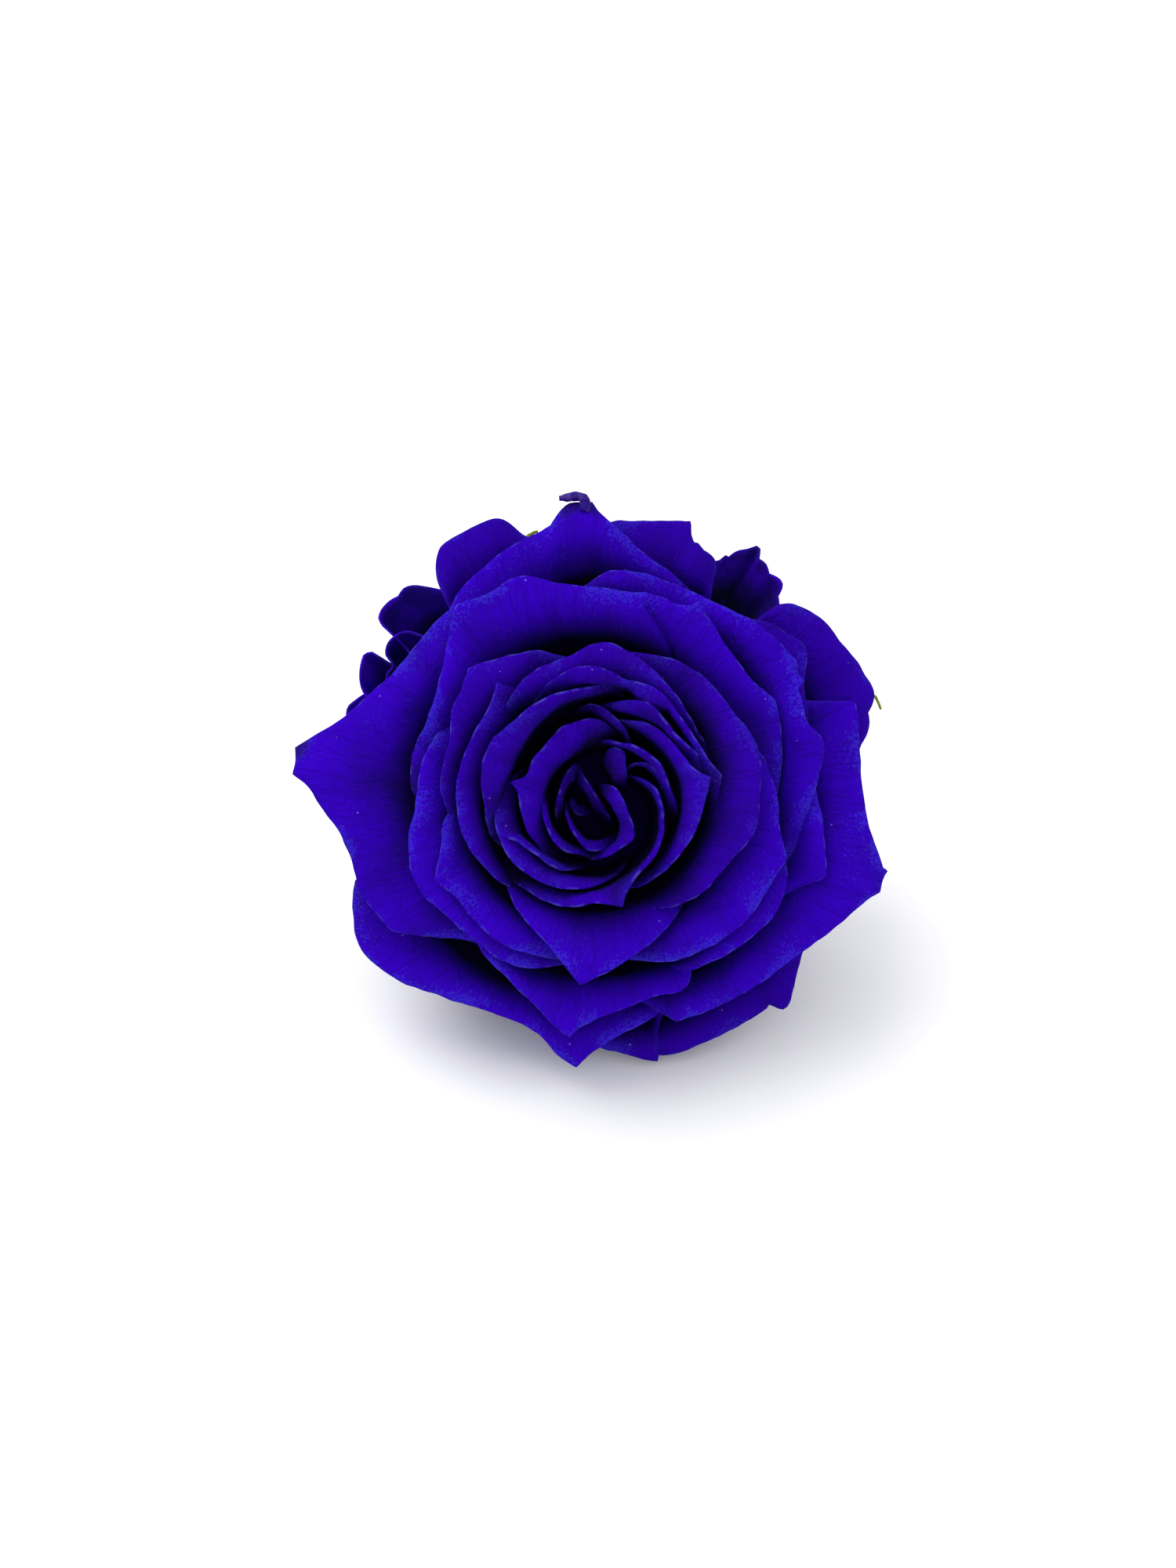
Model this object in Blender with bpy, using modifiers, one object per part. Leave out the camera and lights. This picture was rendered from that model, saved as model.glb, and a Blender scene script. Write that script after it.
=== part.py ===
"""A preserved rose head, lying on a surface with its face turned up towards the viewer.

Three pieces: the bloom (all petals, grown from the thick end of the stalk), the calyx (the hip
with its five sepals) and the cut stem. Each is modelled on the bloom's own axis, with +Z out of
its face, and is then tipped over to the angle at which the head lies.
"""

import math
from collections import namedtuple

import bmesh
import bpy
import numpy as np
from mathutils import Euler, Matrix, Vector

# Lengths in this file are millimetres, and this turns them into Blender's metres.
MM = 0.001

# How the head lies: its axis is FACE_UP degrees above the surface. The eye is the point between
# the innermost petals, EYE_HEIGHT above the surface, and placed so that the origin is under the
# middle of the whole head.
FACE_UP = 38
EYE_HEIGHT = 38
EYE_SIDEWAYS = -0.67
EYE_FORWARD = -19.6

# A petal's reaches are as they look from this far in front of its face, on the plane
# NEAR_PLANE behind its front. What lies further back is wider in proportion.
SIGHT_DISTANCE = 184
NEAR_PLANE = 10

PETAL_THICKNESS = 0.6
SEPAL_THICKNESS = 0.8
# Columns of a petal's grid are COLUMN_STEP apart at the rim, and at most STEP_SHARE of its reach.
# Its rows are those up its wall and those over its rim.
COLUMN_STEP = 4.8
STEP_SHARE = 0.42
SPLINE_STEPS = 12
ROWS = (2, 2)

# Roots of the innermost and the outermost petals: distance from the axis and depth.
INNER_ROOT = (1.5, -19)
OUTER_ROOT = (5.5, -38)
OUTER_WALL = 26
# A petal's wall bulges: the point that pulls its curve is this share of the way out and up.
BULGE_OUT = 0.84
BULGE_UP = 0.1

# The thick end of the stalk, which every petal is rooted in.
CORE_DEPTH = -28
CORE_RADIUS = 14.5
CORE_HALF_HEIGHT = 13.5
CORE_SEGMENTS = 16
CORE_RINGS = 10

# A rim runs on under its neighbours past each end of its list, a little shorter: this far, and
# at most this share of its reach.
TUCK = 3
TUCK_SHARE = 0.2
TUCK_SHORTENING = 0.45
# A petal is lower at its two sides, by this share of its height, and mostly close to them.
SHOULDER_DROP = 0.22
SHOULDER_POWER = 3
# The narrowest that a rim turns over, as a share of its reach, and at most this.
LIP_SHARE = 0.1
WIDEST_LEAST_LIP = 1.9

TIP = "tip"

# depth: of the top of the rim behind the bloom's front. lean: how much further forward the
# anticlockwise end is. wall, wall_end: how far from the axis the petal stands upright, at its
# clockwise and its anticlockwise end. rise: height of the curve from there over the rim. roll:
# degrees that the curve turns through. rim: direction in degrees, anticlockwise from the
# right, and reach in millimetres.
Petal = namedtuple("Petal", "name depth lean wall wall_end rise roll rim")

GUARD_PETALS = [
    Petal("guard_top", -15.5, 0, 24.6, 24.6, 6, 115, [
        (72, 26.8), (76, 28), (81, 29.4), (84, 30.8), (87, 32.2), (90, 34.1, TIP),
        (94.2, 34.1, TIP), (97.5, 32.4), (100, 31.4), (105, 30.9), (113, 29.6), (121, 28.4),
        (128, 26.6)]),
    Petal("guard_left", -12.5, 2, 22, 20, 7, 112, [
        (124, 27), (134, 26.7), (144, 26.6), (153.5, 27.9), (160, 29.6), (168.7, 33.6, TIP),
        (173.3, 33, TIP), (177, 30.5), (182.4, 28.8), (189, 27.6), (201.4, 27.3),
        (211.5, 26.2, TIP), (225, 20.7)]),
    Petal("guard_lower_left", -16, 2, 22.6, 22.6, 7, 112, [
        (203, 28.9), (211.7, 29.9), (223, 28.6), (231, 26.9), (247, 25.4), (257, 25.8),
        (262, 27.6), (266.3, 28.9, TIP), (269.6, 27.3), (276.5, 25.5), (285.4, 24.2)]),
    Petal("guard_right", -13.5, 0, 21.4, 24.4, 7, 112, [
        (-75.6, 22.3), (-68.5, 25.4, TIP), (-60, 26), (-47, 26.8), (-34.9, 28.2), (-22.5, 31.2),
        (-16, 33.6, TIP), (-11.8, 33.6, TIP), (-5.4, 31.2), (3.6, 30.2), (12.8, 30.5),
        (21.6, 31.5, TIP), (26.8, 26.4)]),
]

MIDDLE_PETALS = [
    Petal("middle_upper_right", -10, 0, 22, 22.6, 6, 108, [
        (-11.4, 23.3, TIP), (-2.9, 23.7), (8.7, 25.5), (16.5, 26.7), (22, 25.8), (29, 26.5),
        (35.8, 28.1, TIP), (42.6, 27.8), (50.4, 27.3), (59.7, 26.6), (79, 26.5), (85.6, 26.3),
        (91, 24.8)]),
    Petal("middle_right", -12, 0, 23, 23, 5, 108, [
        (-22, 24.4), (-16.4, 27.2, TIP), (-9, 26), (-1.7, 25.4), (6, 24.8)]),
    Petal("middle_bottom", -10.5, 0, 19, 19, 6, 106, [
        (231.5, 20), (243.4, 21), (253.8, 22.7), (260.3, 24.6), (264.5, 25.5, TIP),
        (267.5, 24.1), (277.3, 22.7), (289.2, 22.2), (298.3, 22.3), (300.7, 21.3, TIP),
        (306, 18)]),
    Petal("middle_top", -7.6, 0, 18.6, 18.6, 8, 108, [
        (4, 20.7), (11, 21.3), (22, 22.6), (30.4, 23.7, TIP), (38.5, 22.8), (47.1, 23),
        (58, 25), (62, 25.9, TIP), (75, 24.7), (83.2, 24.4), (98.4, 25.4), (108.3, 27.1),
        (116, 26.5), (124, 27.2, TIP), (133.2, 23.7), (145.6, 21.2), (171.6, 20.4)]),
    Petal("middle_lower_right", -6.6, 0, 16.8, 17.2, 5, 106, [
        (-74.7, 17.6), (-60.7, 19.4), (-50, 20.2), (-35, 21.2), (-22.3, 21.7),
        (-14.6, 22.2, TIP), (-5.7, 20.9), (1.6, 20.7), (10, 20.2), (17, 19.6)]),
    Petal("middle_low", -9, 0, 19.4, 19.8, 4, 106, [
        (-58.5, 21.1), (-50.4, 21.8), (-37.3, 23), (-27.4, 23.6), (-19.7, 23)]),
    Petal("middle_left", -7.4, 0, 17, 16.6, 4.5, 106, [
        (150, 18.7), (159.7, 19.4), (181, 19.7), (190.7, 20.7), (205, 21.3), (214, 20.4),
        (224, 19.9), (243, 19.6), (250.6, 19), (256.7, 18)]),
    Petal("middle_lower_left", -5.8, 0, 14.4, 14.2, 5, 104, [
        (179.5, 15.6), (187, 16.8), (197, 17.6), (205.5, 19.3, TIP), (214, 18.2), (226, 18.1),
        (237, 18.1), (249, 17.6), (257.5, 17.1)]),
]

INNER_PETALS = [
    Petal("inner_bottom", -4.4, 0, 12.2, 12.6, 5, 104, [
        (221.4, 12.6), (232.4, 14), (245.2, 15.1), (255.6, 16.6), (266, 19.8, TIP),
        (272, 18.9), (284, 17.3), (297, 16.1), (309.6, 15.2)]),
    Petal("inner_right", -3.4, 0, 12, 15.6, 4.5, 108, [
        (-63.4, 12.4), (-49, 14.5), (-36.5, 15.6), (-24.3, 16.2), (-9.4, 18.1), (7.1, 18.9),
        (14.9, 19.3), (24.5, 19.4), (34.3, 18.9), (46.6, 19.2), (58.4, 19), (68, 18.4),
        (76.3, 17.8)]),
    Petal("inner_upper_left", -4.8, 0, 16, 15, 4, 108, [
        (103.7, 17.4), (108.7, 18.3), (120.3, 19.5), (131.8, 20.8, TIP), (137.4, 19.7),
        (145.5, 18.9), (153, 17.7), (163, 17.2), (172, 17), (180.3, 16.2)]),
    Petal("inner_left", -3, 0, 14, 12, 3.2, 106, [
        (121.6, 16.3), (127.3, 17.5, TIP), (135, 16.1), (146.7, 15.5), (173, 15.3),
        (184.6, 14.9), (197, 14.4), (209.5, 13.6), (222, 12.9)]),
    Petal("inner_top", -2, 0, 14, 13.6, 3.2, 112, [
        (25.8, 14.4), (39.8, 14.6), (57, 15.9), (67.8, 17), (77.9, 18), (84.4, 18.5),
        (90.6, 18.1), (96.5, 17.2), (116, 16.3), (125.8, 15.3), (137, 13.9)]),
    Petal("ring_top", -0.8, 0, 12, 12.2, 2.6, 108, [
        (5.9, 14.2), (14.2, 14.9, TIP), (23.7, 14), (38, 13.7), (51.8, 14.3), (64.4, 14.9),
        (75, 14.6), (89, 15.6), (97, 15.5), (106, 15), (115, 13.8)]),
    Petal("ring_left", -0.4, 0, 11.4, 10.4, 2.8, 108, [
        (81.6, 13.9), (96.5, 13.2), (127, 13.4), (149.9, 13.4), (161.4, 12.8), (173, 12.1),
        (184, 11.8)]),
    Petal("ring_right", -1.4, 0, 9, 10.8, 2.6, 108, [
        (-61, 10.2), (-48.8, 10.5), (-32.8, 11), (-17.4, 11.6), (4.4, 12.7),
        (14.4, 13.6, TIP), (25, 12.8), (45, 12.5), (65, 12.3), (81, 11.7)]),
    Petal("ring_lower_left", -1.4, 0, 9, 7.6, 2.6, 108, [
        (185, 11), (197.8, 10.5), (225, 10), (244.6, 9.9), (262, 9.2), (281, 8.6)]),
]

HEART_PETALS = [
    Petal("heart_left", -2, 0, 8, 5.8, 2.6, 108, [
        (78, 9.7), (96, 10), (115, 9.7), (135, 9.1), (161, 8.8, TIP), (175, 8.3), (200, 7.8),
        (225, 7.5), (250, 7.4)]),
    Petal("heart_ribbon", -1.4, 0, 9.6, 4.8, 2.4, 105, [
        (-111, 11.5), (-95, 11.2), (-72.8, 11.5, TIP), (-64.6, 9.95), (-51, 9),
        (-32.9, 8.7), (-14.3, 8.3), (7, 7.9), (24, 7.2), (39, 5.8)]),
    Petal("heart_slant", -2.2, 0, 12, 12, 2, 105, [
        (58, 8.6), (72, 10), (80, 11), (85, 11.5)]),
    Petal("heart_upper_right", -3.6, 0, 7.6, 7.2, 1.8, 105, [
        (5.9, 8.9), (34.2, 8.9), (56.3, 8.3), (78.6, 8.1)]),
    Petal("heart_flap", -2.8, 0, 4.2, 4.4, 1.8, 105, [
        (22, 3.9), (45, 5.5), (58, 7, TIP), (69, 7), (76, 5.6)]),
    Petal("heart_tongue", -2.4, 0, 4.9, 2.8, 2.2, 108, [
        (-88, 5.8), (-55.8, 5.7), (-29.9, 5.5), (12.7, 4), (48, 3.4)]),
    Petal("heart_loop", -2.8, 0, 4.8, 3.6, 1.6, 105, [
        (165, 5.6), (177, 5.5), (209, 5.3), (239, 5.5), (275, 5.3)]),
    Petal("bud_left", -3.2, 0, 1.9, 3.4, 1.6, 100, [
        (97, 2.8), (114, 4.9, TIP), (131, 4.5), (154, 3.9), (180, 3.8), (206, 4.4)]),
    Petal("bud", -3.8, 0, 2.3, 2.3, 1.4, 100, [
        (155, 3), (203, 2.9), (230, 3.3), (253, 4.2), (270, 4.7), (291, 4.4), (308, 3.7),
        (330, 2.6)]),
]

REAR_PETALS = [
    Petal("rear_upper_left", -21.5, 0, 26.6, 26.2, 6, 115, [
        (98, 29.3), (104, 31.3), (107.6, 33.6), (111.6, 33.9), (115.7, 33.8), (120.8, 32.9),
        (124, 30.5), (130, 27.3), (142, 25.6)]),
    Petal("rear_top", -19.5, 0, 25.6, 25.6, 6, 115, [
        (56, 29.3), (62.3, 30.8), (68.3, 31.6, TIP), (71.1, 33.8, TIP), (77.8, 32.5),
        (84, 31.6), (92, 30.5), (100, 28.6)]),
    Petal("rear_right", -21, 0, 26.4, 26.6, 6, 120, [
        (2, 28.4), (13.6, 30.8), (17.6, 32.3), (21.2, 33.8, TIP), (30.9, 33.6), (37.6, 33.3),
        (44.2, 32.2), (50, 29.8), (56, 27.5)]),
    Petal("behind_upper_right", -12.5, 0, 24.6, 24.6, 3, 120, [
        (25, 26.4), (30.7, 27.4), (34, 28.8), (40.4, 28.8), (45.3, 28.2), (52, 26.8)]),
    Petal("rear_lower_right", -20, 0, 25.4, 25.4, 6, 115, [
        (-58, 26.5), (-50, 29), (-46.7, 30.6, TIP), (-43.6, 30.4), (-35.9, 28.6),
        (-27, 28), (-18, 29), (-6, 28.4)]),
    Petal("rear_bottom", -21.5, 0, 26, 26, 6, 115, [
        (-94, 25.4), (-87, 26.7), (-81.3, 28), (-74.9, 28.9), (-65.8, 28.5), (-56, 28.7),
        (-50, 27.2), (-43, 25.6)]),
    Petal("rear_lower_left", -22.5, 0, 24.6, 24.6, 6, 115, [
        (202, 26.4), (213, 27.6), (225, 26.6), (235, 25.4), (247, 24.6), (258, 25),
        (266, 24.6)]),
    Petal("rear_left", -20.5, 0, 25.4, 25.4, 6, 115, [
        (138, 25), (150, 26.4), (162, 28.4), (172, 29.4), (182, 27.4), (192, 26.5),
        (203, 25.6)]),
]

PETALS = GUARD_PETALS + MIDDLE_PETALS + INNER_PETALS + HEART_PETALS + REAR_PETALS

# A narrow blade of the calyx, from the hip or from its parent blade out to its tip. Places are
# direction, distance from the axis and depth, and the middle one pulls the blade's line to it.
# point: the length over which it narrows to its tip, which is short where it ends in a round lobe.
Blade = namedtuple("Blade", "name root middle tip width point")

SEPALS = [
    Blade("sepal_right", (6, 4.2, -44.2), (10, 20, -42.5), (21, 34.2, -26), 6.5, 12),
    Blade("sepal_upper_right", (70, 4.2, -44.2), (60, 21, -43), (57.7, 34.5, -27.5), 6.6, 4),
    Blade("upper_right_lobe", (59, 20, -39.4), (56, 27, -35), (54.3, 33.5, -28.6), 3.6, 1.8),
    Blade("upper_right_low_lobe", (59, 19, -39.9), (53, 26, -36), (50.1, 33.2, -28.8), 4.6, 2.6),
    Blade("sepal_upper_left", (140, 4.2, -44.2), (136, 20, -43.5), (130.8, 32.3, -30), 5.4, 2.8),
    Blade("upper_left_lobe", (136, 18.6, -40.5), (139, 26, -36.8), (137.6, 32.4, -30.6), 3.8, 2),
    Blade("left_small_lobe", (136, 18.2, -40.7), (142, 24.5, -37.4), (142.8, 29, -31.6), 3, 1.8),
    Blade("left_lobe", (138, 14.8, -42.1), (150, 24, -38.5), (147, 30.7, -31), 4.6, 2.8),
    Blade("left_low_lobe", (139, 12.8, -42.8), (153, 22, -39), (157.6, 29.4, -32.5), 4, 2.2),
    Blade("sepal_lower_left", (214, 4.2, -44.2), (206, 18, -43.5), (197, 26, -36), 7, 10),
    Blade("sepal_lower_right", (286, 4.2, -44.2), (312, 15, -43), (326, 25, -35), 7, 10),
]
BLADE_ROWS = 7
CUP_DEPTH = 0.6
# A blade's width where it starts, as a share of its widest, the share of its length over which
# it widens from there, how round it narrows, and its width at the very tip.
BLADE_NECK = 0.35
BLADE_WIDENING = 0.5
BLADE_ROUNDNESS = 1.8
BLADE_END = 0.3

# The hip, as distances from the axis and depths, outer end first.
HIP_PROFILE = [(0.01, -42), (3.6, -42.1), (5.4, -43.2), (6, -45), (5.4, -47.2), (3.9, -49),
               (3.1, -50.2), (0.01, -50.2)]
HIP_SIDES = 14
HIP_MERGE = 0.05
STEM_RADIUS = 2.6
STEM_TOP = -50.5
STEM_SIDES = 12
# The stem has a flat side underneath, and is cut where the end of that side reaches the surface.
STEM_FLAT = STEM_RADIUS * math.cos(math.pi / STEM_SIDES)
STEM_END = (STEM_FLAT * math.cos(math.radians(FACE_UP)) - EYE_HEIGHT) / math.sin(math.radians(FACE_UP))


def widened(radius, depth):
    """A distance from the axis as it looks from the front, turned into the true one."""
    return radius * (SIGHT_DISTANCE - depth) / (SIGHT_DISTANCE + NEAR_PLANE)


def tucked(end, side):
    """The point where a rim ends under its neighbour, past this end of its list."""
    angle, reach = end[:2]
    tuck = min(TUCK, TUCK_SHARE * reach)
    return angle + side * math.degrees(tuck / reach), reach - TUCK_SHORTENING * tuck


def between(start, end, at_start, at_end, t):
    """A reach at share T of the turn from one rim point to the next, with these slopes there."""
    turn = end[0] - start[0]
    reach = (2 * t ** 3 - 3 * t ** 2 + 1) * start[1] + (3 * t ** 2 - 2 * t ** 3) * end[1]
    return reach + ((t ** 3 - 2 * t ** 2 + t) * at_start + (t ** 3 - t ** 2) * at_end) * turn


def rim_stretches(rim):
    """The rim as smooth stretches that meet at its tips, each a list of directions and reaches."""
    points = [tucked(rim[0], -1)] + rim + [tucked(rim[-1], 1)]
    slopes = []
    for start, end in zip(points, points[1:]):
        slopes.append((end[1] - start[1]) / (end[0] - start[0]))
    stretches = [[]]
    for i, slope in enumerate(slopes):
        start, end = points[i], points[i + 1]
        at_start, at_end = slope, slope
        if i > 0 and TIP not in start:
            at_start = (slopes[i - 1] + slope) / 2
        if i + 1 < len(slopes) and TIP not in end:
            at_end = (slope + slopes[i + 1]) / 2
        for k in range(SPLINE_STEPS + 1):
            t = k / SPLINE_STEPS
            angle = start[0] + t * (end[0] - start[0])
            stretches[-1].append((angle, between(start, end, at_start, at_end, t)))
        if TIP in end:
            stretches.append([])
    return stretches


def smooth_rim(rim, step):
    """Directions and reaches along a rim, about STEP apart and closer together near the eye."""
    line = []
    for stretch in rim_stretches(rim):
        angles, reaches = np.array(stretch).T
        turns = np.radians(np.diff(angles)) * reaches[1:]
        run = np.concatenate([[0], np.cumsum(np.hypot(turns, np.diff(reaches)))])
        own_step = min(step, STEP_SHARE * reaches.mean())
        places = np.linspace(0, run[-1], max(1, round(run[-1] / own_step)) + 1)
        points = zip(np.interp(places, run, angles), np.interp(places, run, reaches))
        line = line[:-1] + list(points)
    return line


def profile_point(petal, across, reach, crest, row, rows):
    """Distance from the axis and depth of one row: up the wall from the root, then over the rim."""
    wall = petal.wall + across * (petal.wall_end - petal.wall)
    wall = min(wall, reach - min(LIP_SHARE * reach, WIDEST_LEAST_LIP))
    outwards = min(1, wall / OUTER_WALL)
    root_radius = INNER_ROOT[0] + outwards * (OUTER_ROOT[0] - INNER_ROOT[0])
    root_depth = INNER_ROOT[1] + outwards * (OUTER_ROOT[1] - INNER_ROOT[1])
    wall_rows = rows[0]
    if row <= wall_rows:
        t = row / wall_rows
        top = crest - petal.rise
        belly_radius = root_radius + BULGE_OUT * (wall - root_radius)
        belly_depth = root_depth + BULGE_UP * (top - root_depth)
        radius = (1 - t) ** 2 * root_radius + 2 * t * (1 - t) * belly_radius + t ** 2 * wall
        depth = (1 - t) ** 2 * root_depth + 2 * t * (1 - t) * belly_depth + t ** 2 * top
        return radius, depth
    turned = math.radians(petal.roll) * (row - wall_rows) / rows[1]
    half_width = (reach - wall) / (1 - math.cos(math.radians(petal.roll)))
    radius = wall + half_width * (1 - math.cos(turned))
    depth = crest - petal.rise * (1 - math.sin(turned))
    return radius, depth


def petal_sheet(petal, step, rows):
    """A petal with no thickness: a grid whose columns run from its root to points of its rim."""
    line = smooth_rim(petal.rim, step)
    columns = len(line) - 1
    all_rows = rows[0] + rows[1]
    sheet = bmesh.new()
    bmesh.ops.create_grid(sheet, x_segments=columns, y_segments=all_rows, size=1)
    for vert in sheet.verts:
        column = round((vert.co.x + 1) / 2 * columns)
        row = round((vert.co.y + 1) / 2 * all_rows)
        across = column / columns
        angle, reach = line[column]
        off_centre = abs(2 * across - 1) ** SHOULDER_POWER
        shoulder = SHOULDER_DROP * (petal.depth - OUTER_ROOT[1]) * off_centre
        crest = petal.depth + petal.lean * (across - 0.5) - shoulder
        radius, depth = profile_point(petal, across, reach, crest, row, rows)
        radius = widened(radius, depth)
        turn = math.radians(angle)
        vert.co = Vector((radius * math.cos(turn), radius * math.sin(turn), depth))
    return sheet


def keep_above_surface(sheet, half_thickness):
    """Flattens what would sink below the surface that the head lies on, to rest on it."""
    tip_over = Euler((math.radians(90 - FACE_UP), 0, 0)).to_matrix()
    lift_back = tip_over.inverted()
    for vert in sheet.verts:
        place = tip_over @ vert.co
        height = place.z + EYE_HEIGHT
        if height < half_thickness:
            place.z = half_thickness - EYE_HEIGHT
            vert.co = lift_back @ place


def new_object(name, mesh, collection, material):
    piece = bpy.data.objects.new(name, mesh)
    piece.data.materials.append(material)
    collection.objects.link(piece)
    return piece


def lay_down(piece):
    piece.rotation_euler = (math.radians(90 - FACE_UP), 0, 0)
    piece.location = (EYE_SIDEWAYS * MM, EYE_FORWARD * MM, EYE_HEIGHT * MM)


def solid_from_sheet(name, sheet, thickness, collection, material):
    """An object of the sheet, split into triangles so that both faces split alike, and thickened."""
    bmesh.ops.triangulate(sheet, faces=sheet.faces[:])
    bmesh.ops.scale(sheet, vec=(MM, MM, MM), verts=sheet.verts[:])
    mesh = bpy.data.meshes.new(name)
    sheet.to_mesh(mesh)
    sheet.free()
    piece = new_object(name, mesh, collection, material)
    solidify = piece.modifiers.new("thickness", "SOLIDIFY")
    solidify.thickness = thickness * MM
    solidify.offset = 0
    return piece


def principled(name, colour, roughness):
    material = bpy.data.materials.new(name)
    material.use_nodes = True
    shader = material.node_tree.nodes["Principled BSDF"]
    shader.inputs["Base Color"].default_value = (*colour, 1)
    shader.inputs["Roughness"].default_value = roughness
    shader.inputs["Metallic"].default_value = 0
    material.diffuse_color = (*colour, 1)
    return material


def island_of(face):
    """The faces that hang together with this one."""
    found = {face}
    unsearched = [face]
    while unsearched:
        for edge in unsearched.pop().edges:
            for neighbour in edge.link_faces:
                if len(edge.link_faces) == 2 and neighbour not in found:
                    found.add(neighbour)
                    unsearched.append(neighbour)
    return found


def keep_outer_skin(mesh):
    """Fills hollows that joining sealed and drops loose scraps: only the largest skin stays."""
    skin = bmesh.new()
    skin.from_mesh(mesh)
    left = set(skin.faces)
    islands = []
    while left:
        island = island_of(next(iter(left)))
        left -= island
        islands.append(island)
    islands.sort(key=len)
    for island in islands[:-1]:
        bmesh.ops.delete(skin, geom=list(island), context="FACES")
    bmesh.ops.triangulate(skin, faces=skin.faces[:])
    skin.to_mesh(mesh)
    skin.free()


def join_all(base, pieces):
    """One solid out of the base and every object of the collection, whose objects then go."""
    union = base.modifiers.new("join", "BOOLEAN")
    union.operation = "UNION"
    union.solver = "MANIFOLD"
    union.operand_type = "COLLECTION"
    union.collection = pieces
    bpy.context.view_layer.update()
    graph = bpy.context.evaluated_depsgraph_get()
    joined = bpy.data.meshes.new_from_object(base.evaluated_get(graph))
    base.modifiers.clear()
    base.data = joined
    keep_outer_skin(base.data)
    for piece in list(pieces.objects):
        bpy.data.objects.remove(piece)
    bpy.data.collections.remove(pieces)


def new_collection(name):
    collection = bpy.data.collections.new(name)
    bpy.context.scene.collection.children.link(collection)
    return collection


def build_bloom(collection):
    blue = principled("royal_blue_petal", (0.035, 0.0, 0.51), 0.75)
    core = bmesh.new()
    bmesh.ops.create_uvsphere(core, u_segments=CORE_SEGMENTS, v_segments=CORE_RINGS, radius=MM)
    bmesh.ops.scale(core, vec=(CORE_RADIUS, CORE_RADIUS, CORE_HALF_HEIGHT), verts=core.verts[:])
    bmesh.ops.translate(core, vec=(0, 0, CORE_DEPTH * MM), verts=core.verts[:])
    mesh = bpy.data.meshes.new("bloom")
    core.to_mesh(mesh)
    core.free()
    bloom = new_object("bloom", mesh, collection, blue)
    petals = new_collection("petals")
    for petal in PETALS:
        sheet = petal_sheet(petal, COLUMN_STEP, ROWS)
        keep_above_surface(sheet, PETAL_THICKNESS / 2)
        solid_from_sheet(petal.name, sheet, PETAL_THICKNESS, petals, blue)
    join_all(bloom, petals)
    lay_down(bloom)


def place_at(direction, radius, depth):
    """A point of the calyx from its direction, its distance as it looks, and its depth."""
    turn = math.radians(direction)
    true_radius = widened(radius, depth)
    return Vector((true_radius * math.cos(turn), true_radius * math.sin(turn), depth))


def blade_sheet(blade, rows):
    """A leafy blade with no thickness: three points across, along a bowed line to its tip."""
    root, middle, tip = place_at(*blade.root), place_at(*blade.middle), place_at(*blade.tip)
    narrowing = blade.point / ((middle - root).length + (tip - middle).length)
    sheet = bmesh.new()
    bmesh.ops.create_grid(sheet, x_segments=2, y_segments=rows, size=1)
    for vert in sheet.verts:
        side = round(vert.co.x)
        along = math.sin(math.pi / 4 * (vert.co.y + 1))
        line = (1 - along) ** 2 * root + 2 * along * (1 - along) * middle + along ** 2 * tip
        heading = (1 - along) * (middle - root) + along * (tip - middle)
        across = heading.cross(Vector((0, 0, 1))).normalized()
        widening = BLADE_NECK + (1 - BLADE_NECK) * along / BLADE_WIDENING
        narrowed = max(0, 1 - (1 - along) / narrowing)
        taper = min(1, widening, 1 - narrowed ** BLADE_ROUNDNESS)
        half_width = (BLADE_END + (blade.width - BLADE_END) * taper) / 2
        cup = CUP_DEPTH * abs(side) * taper
        vert.co = line - side * half_width * across + Vector((0, 0, cup))
    return sheet


def build_calyx(collection):
    green = principled("dyed_green_calyx", (0.012, 0.028, 0.06), 0.7)
    profile = bpy.data.meshes.new("calyx")
    points = [(radius * MM, 0, depth * MM) for radius, depth in HIP_PROFILE]
    profile.from_pydata(points, [(i, i + 1) for i in range(len(points) - 1)], [])
    hip = new_object("calyx", profile, collection, green)
    screw = hip.modifiers.new("turn", "SCREW")
    screw.steps = HIP_SIDES
    screw.render_steps = HIP_SIDES
    screw.use_merge_vertices = True
    screw.merge_threshold = HIP_MERGE * MM
    blades = new_collection("blades")
    for blade in SEPALS:
        sheet = blade_sheet(blade, BLADE_ROWS)
        keep_above_surface(sheet, SEPAL_THICKNESS / 2)
        solid_from_sheet(blade.name, sheet, SEPAL_THICKNESS, blades, green)
    join_all(hip, blades)
    lay_down(hip)


def build_stem(collection):
    brown = principled("cut_stem", (0.03, 0.045, 0.03), 0.8)
    stem = bmesh.new()
    bmesh.ops.create_cone(stem, cap_ends=True, segments=STEM_SIDES, radius1=STEM_RADIUS * MM,
                          radius2=STEM_RADIUS * MM, depth=(STEM_TOP - STEM_END) * MM)
    flat_side_down = Matrix.Rotation(math.pi / STEM_SIDES, 3, "Z")
    bmesh.ops.rotate(stem, cent=(0, 0, 0), matrix=flat_side_down, verts=stem.verts[:])
    bmesh.ops.translate(stem, vec=(0, 0, (STEM_TOP + STEM_END) / 2 * MM), verts=stem.verts[:])
    mesh = bpy.data.meshes.new("stem")
    stem.to_mesh(mesh)
    stem.free()
    lay_down(new_object("stem", mesh, collection, brown))


def main():
    for old in list(bpy.data.objects):
        bpy.data.objects.remove(old)
    rose = new_collection("preserved_rose")
    build_bloom(rose)
    build_calyx(rose)
    build_stem(rose)


main()
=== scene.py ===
"""Looks of a preserved rose head that lies on a pale surface with its face turned up.

Every piece is modelled on the bloom's own axis, in millimetres, with +Z out of its face. It is
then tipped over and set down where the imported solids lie.
"""

import math
from collections import namedtuple

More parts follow.
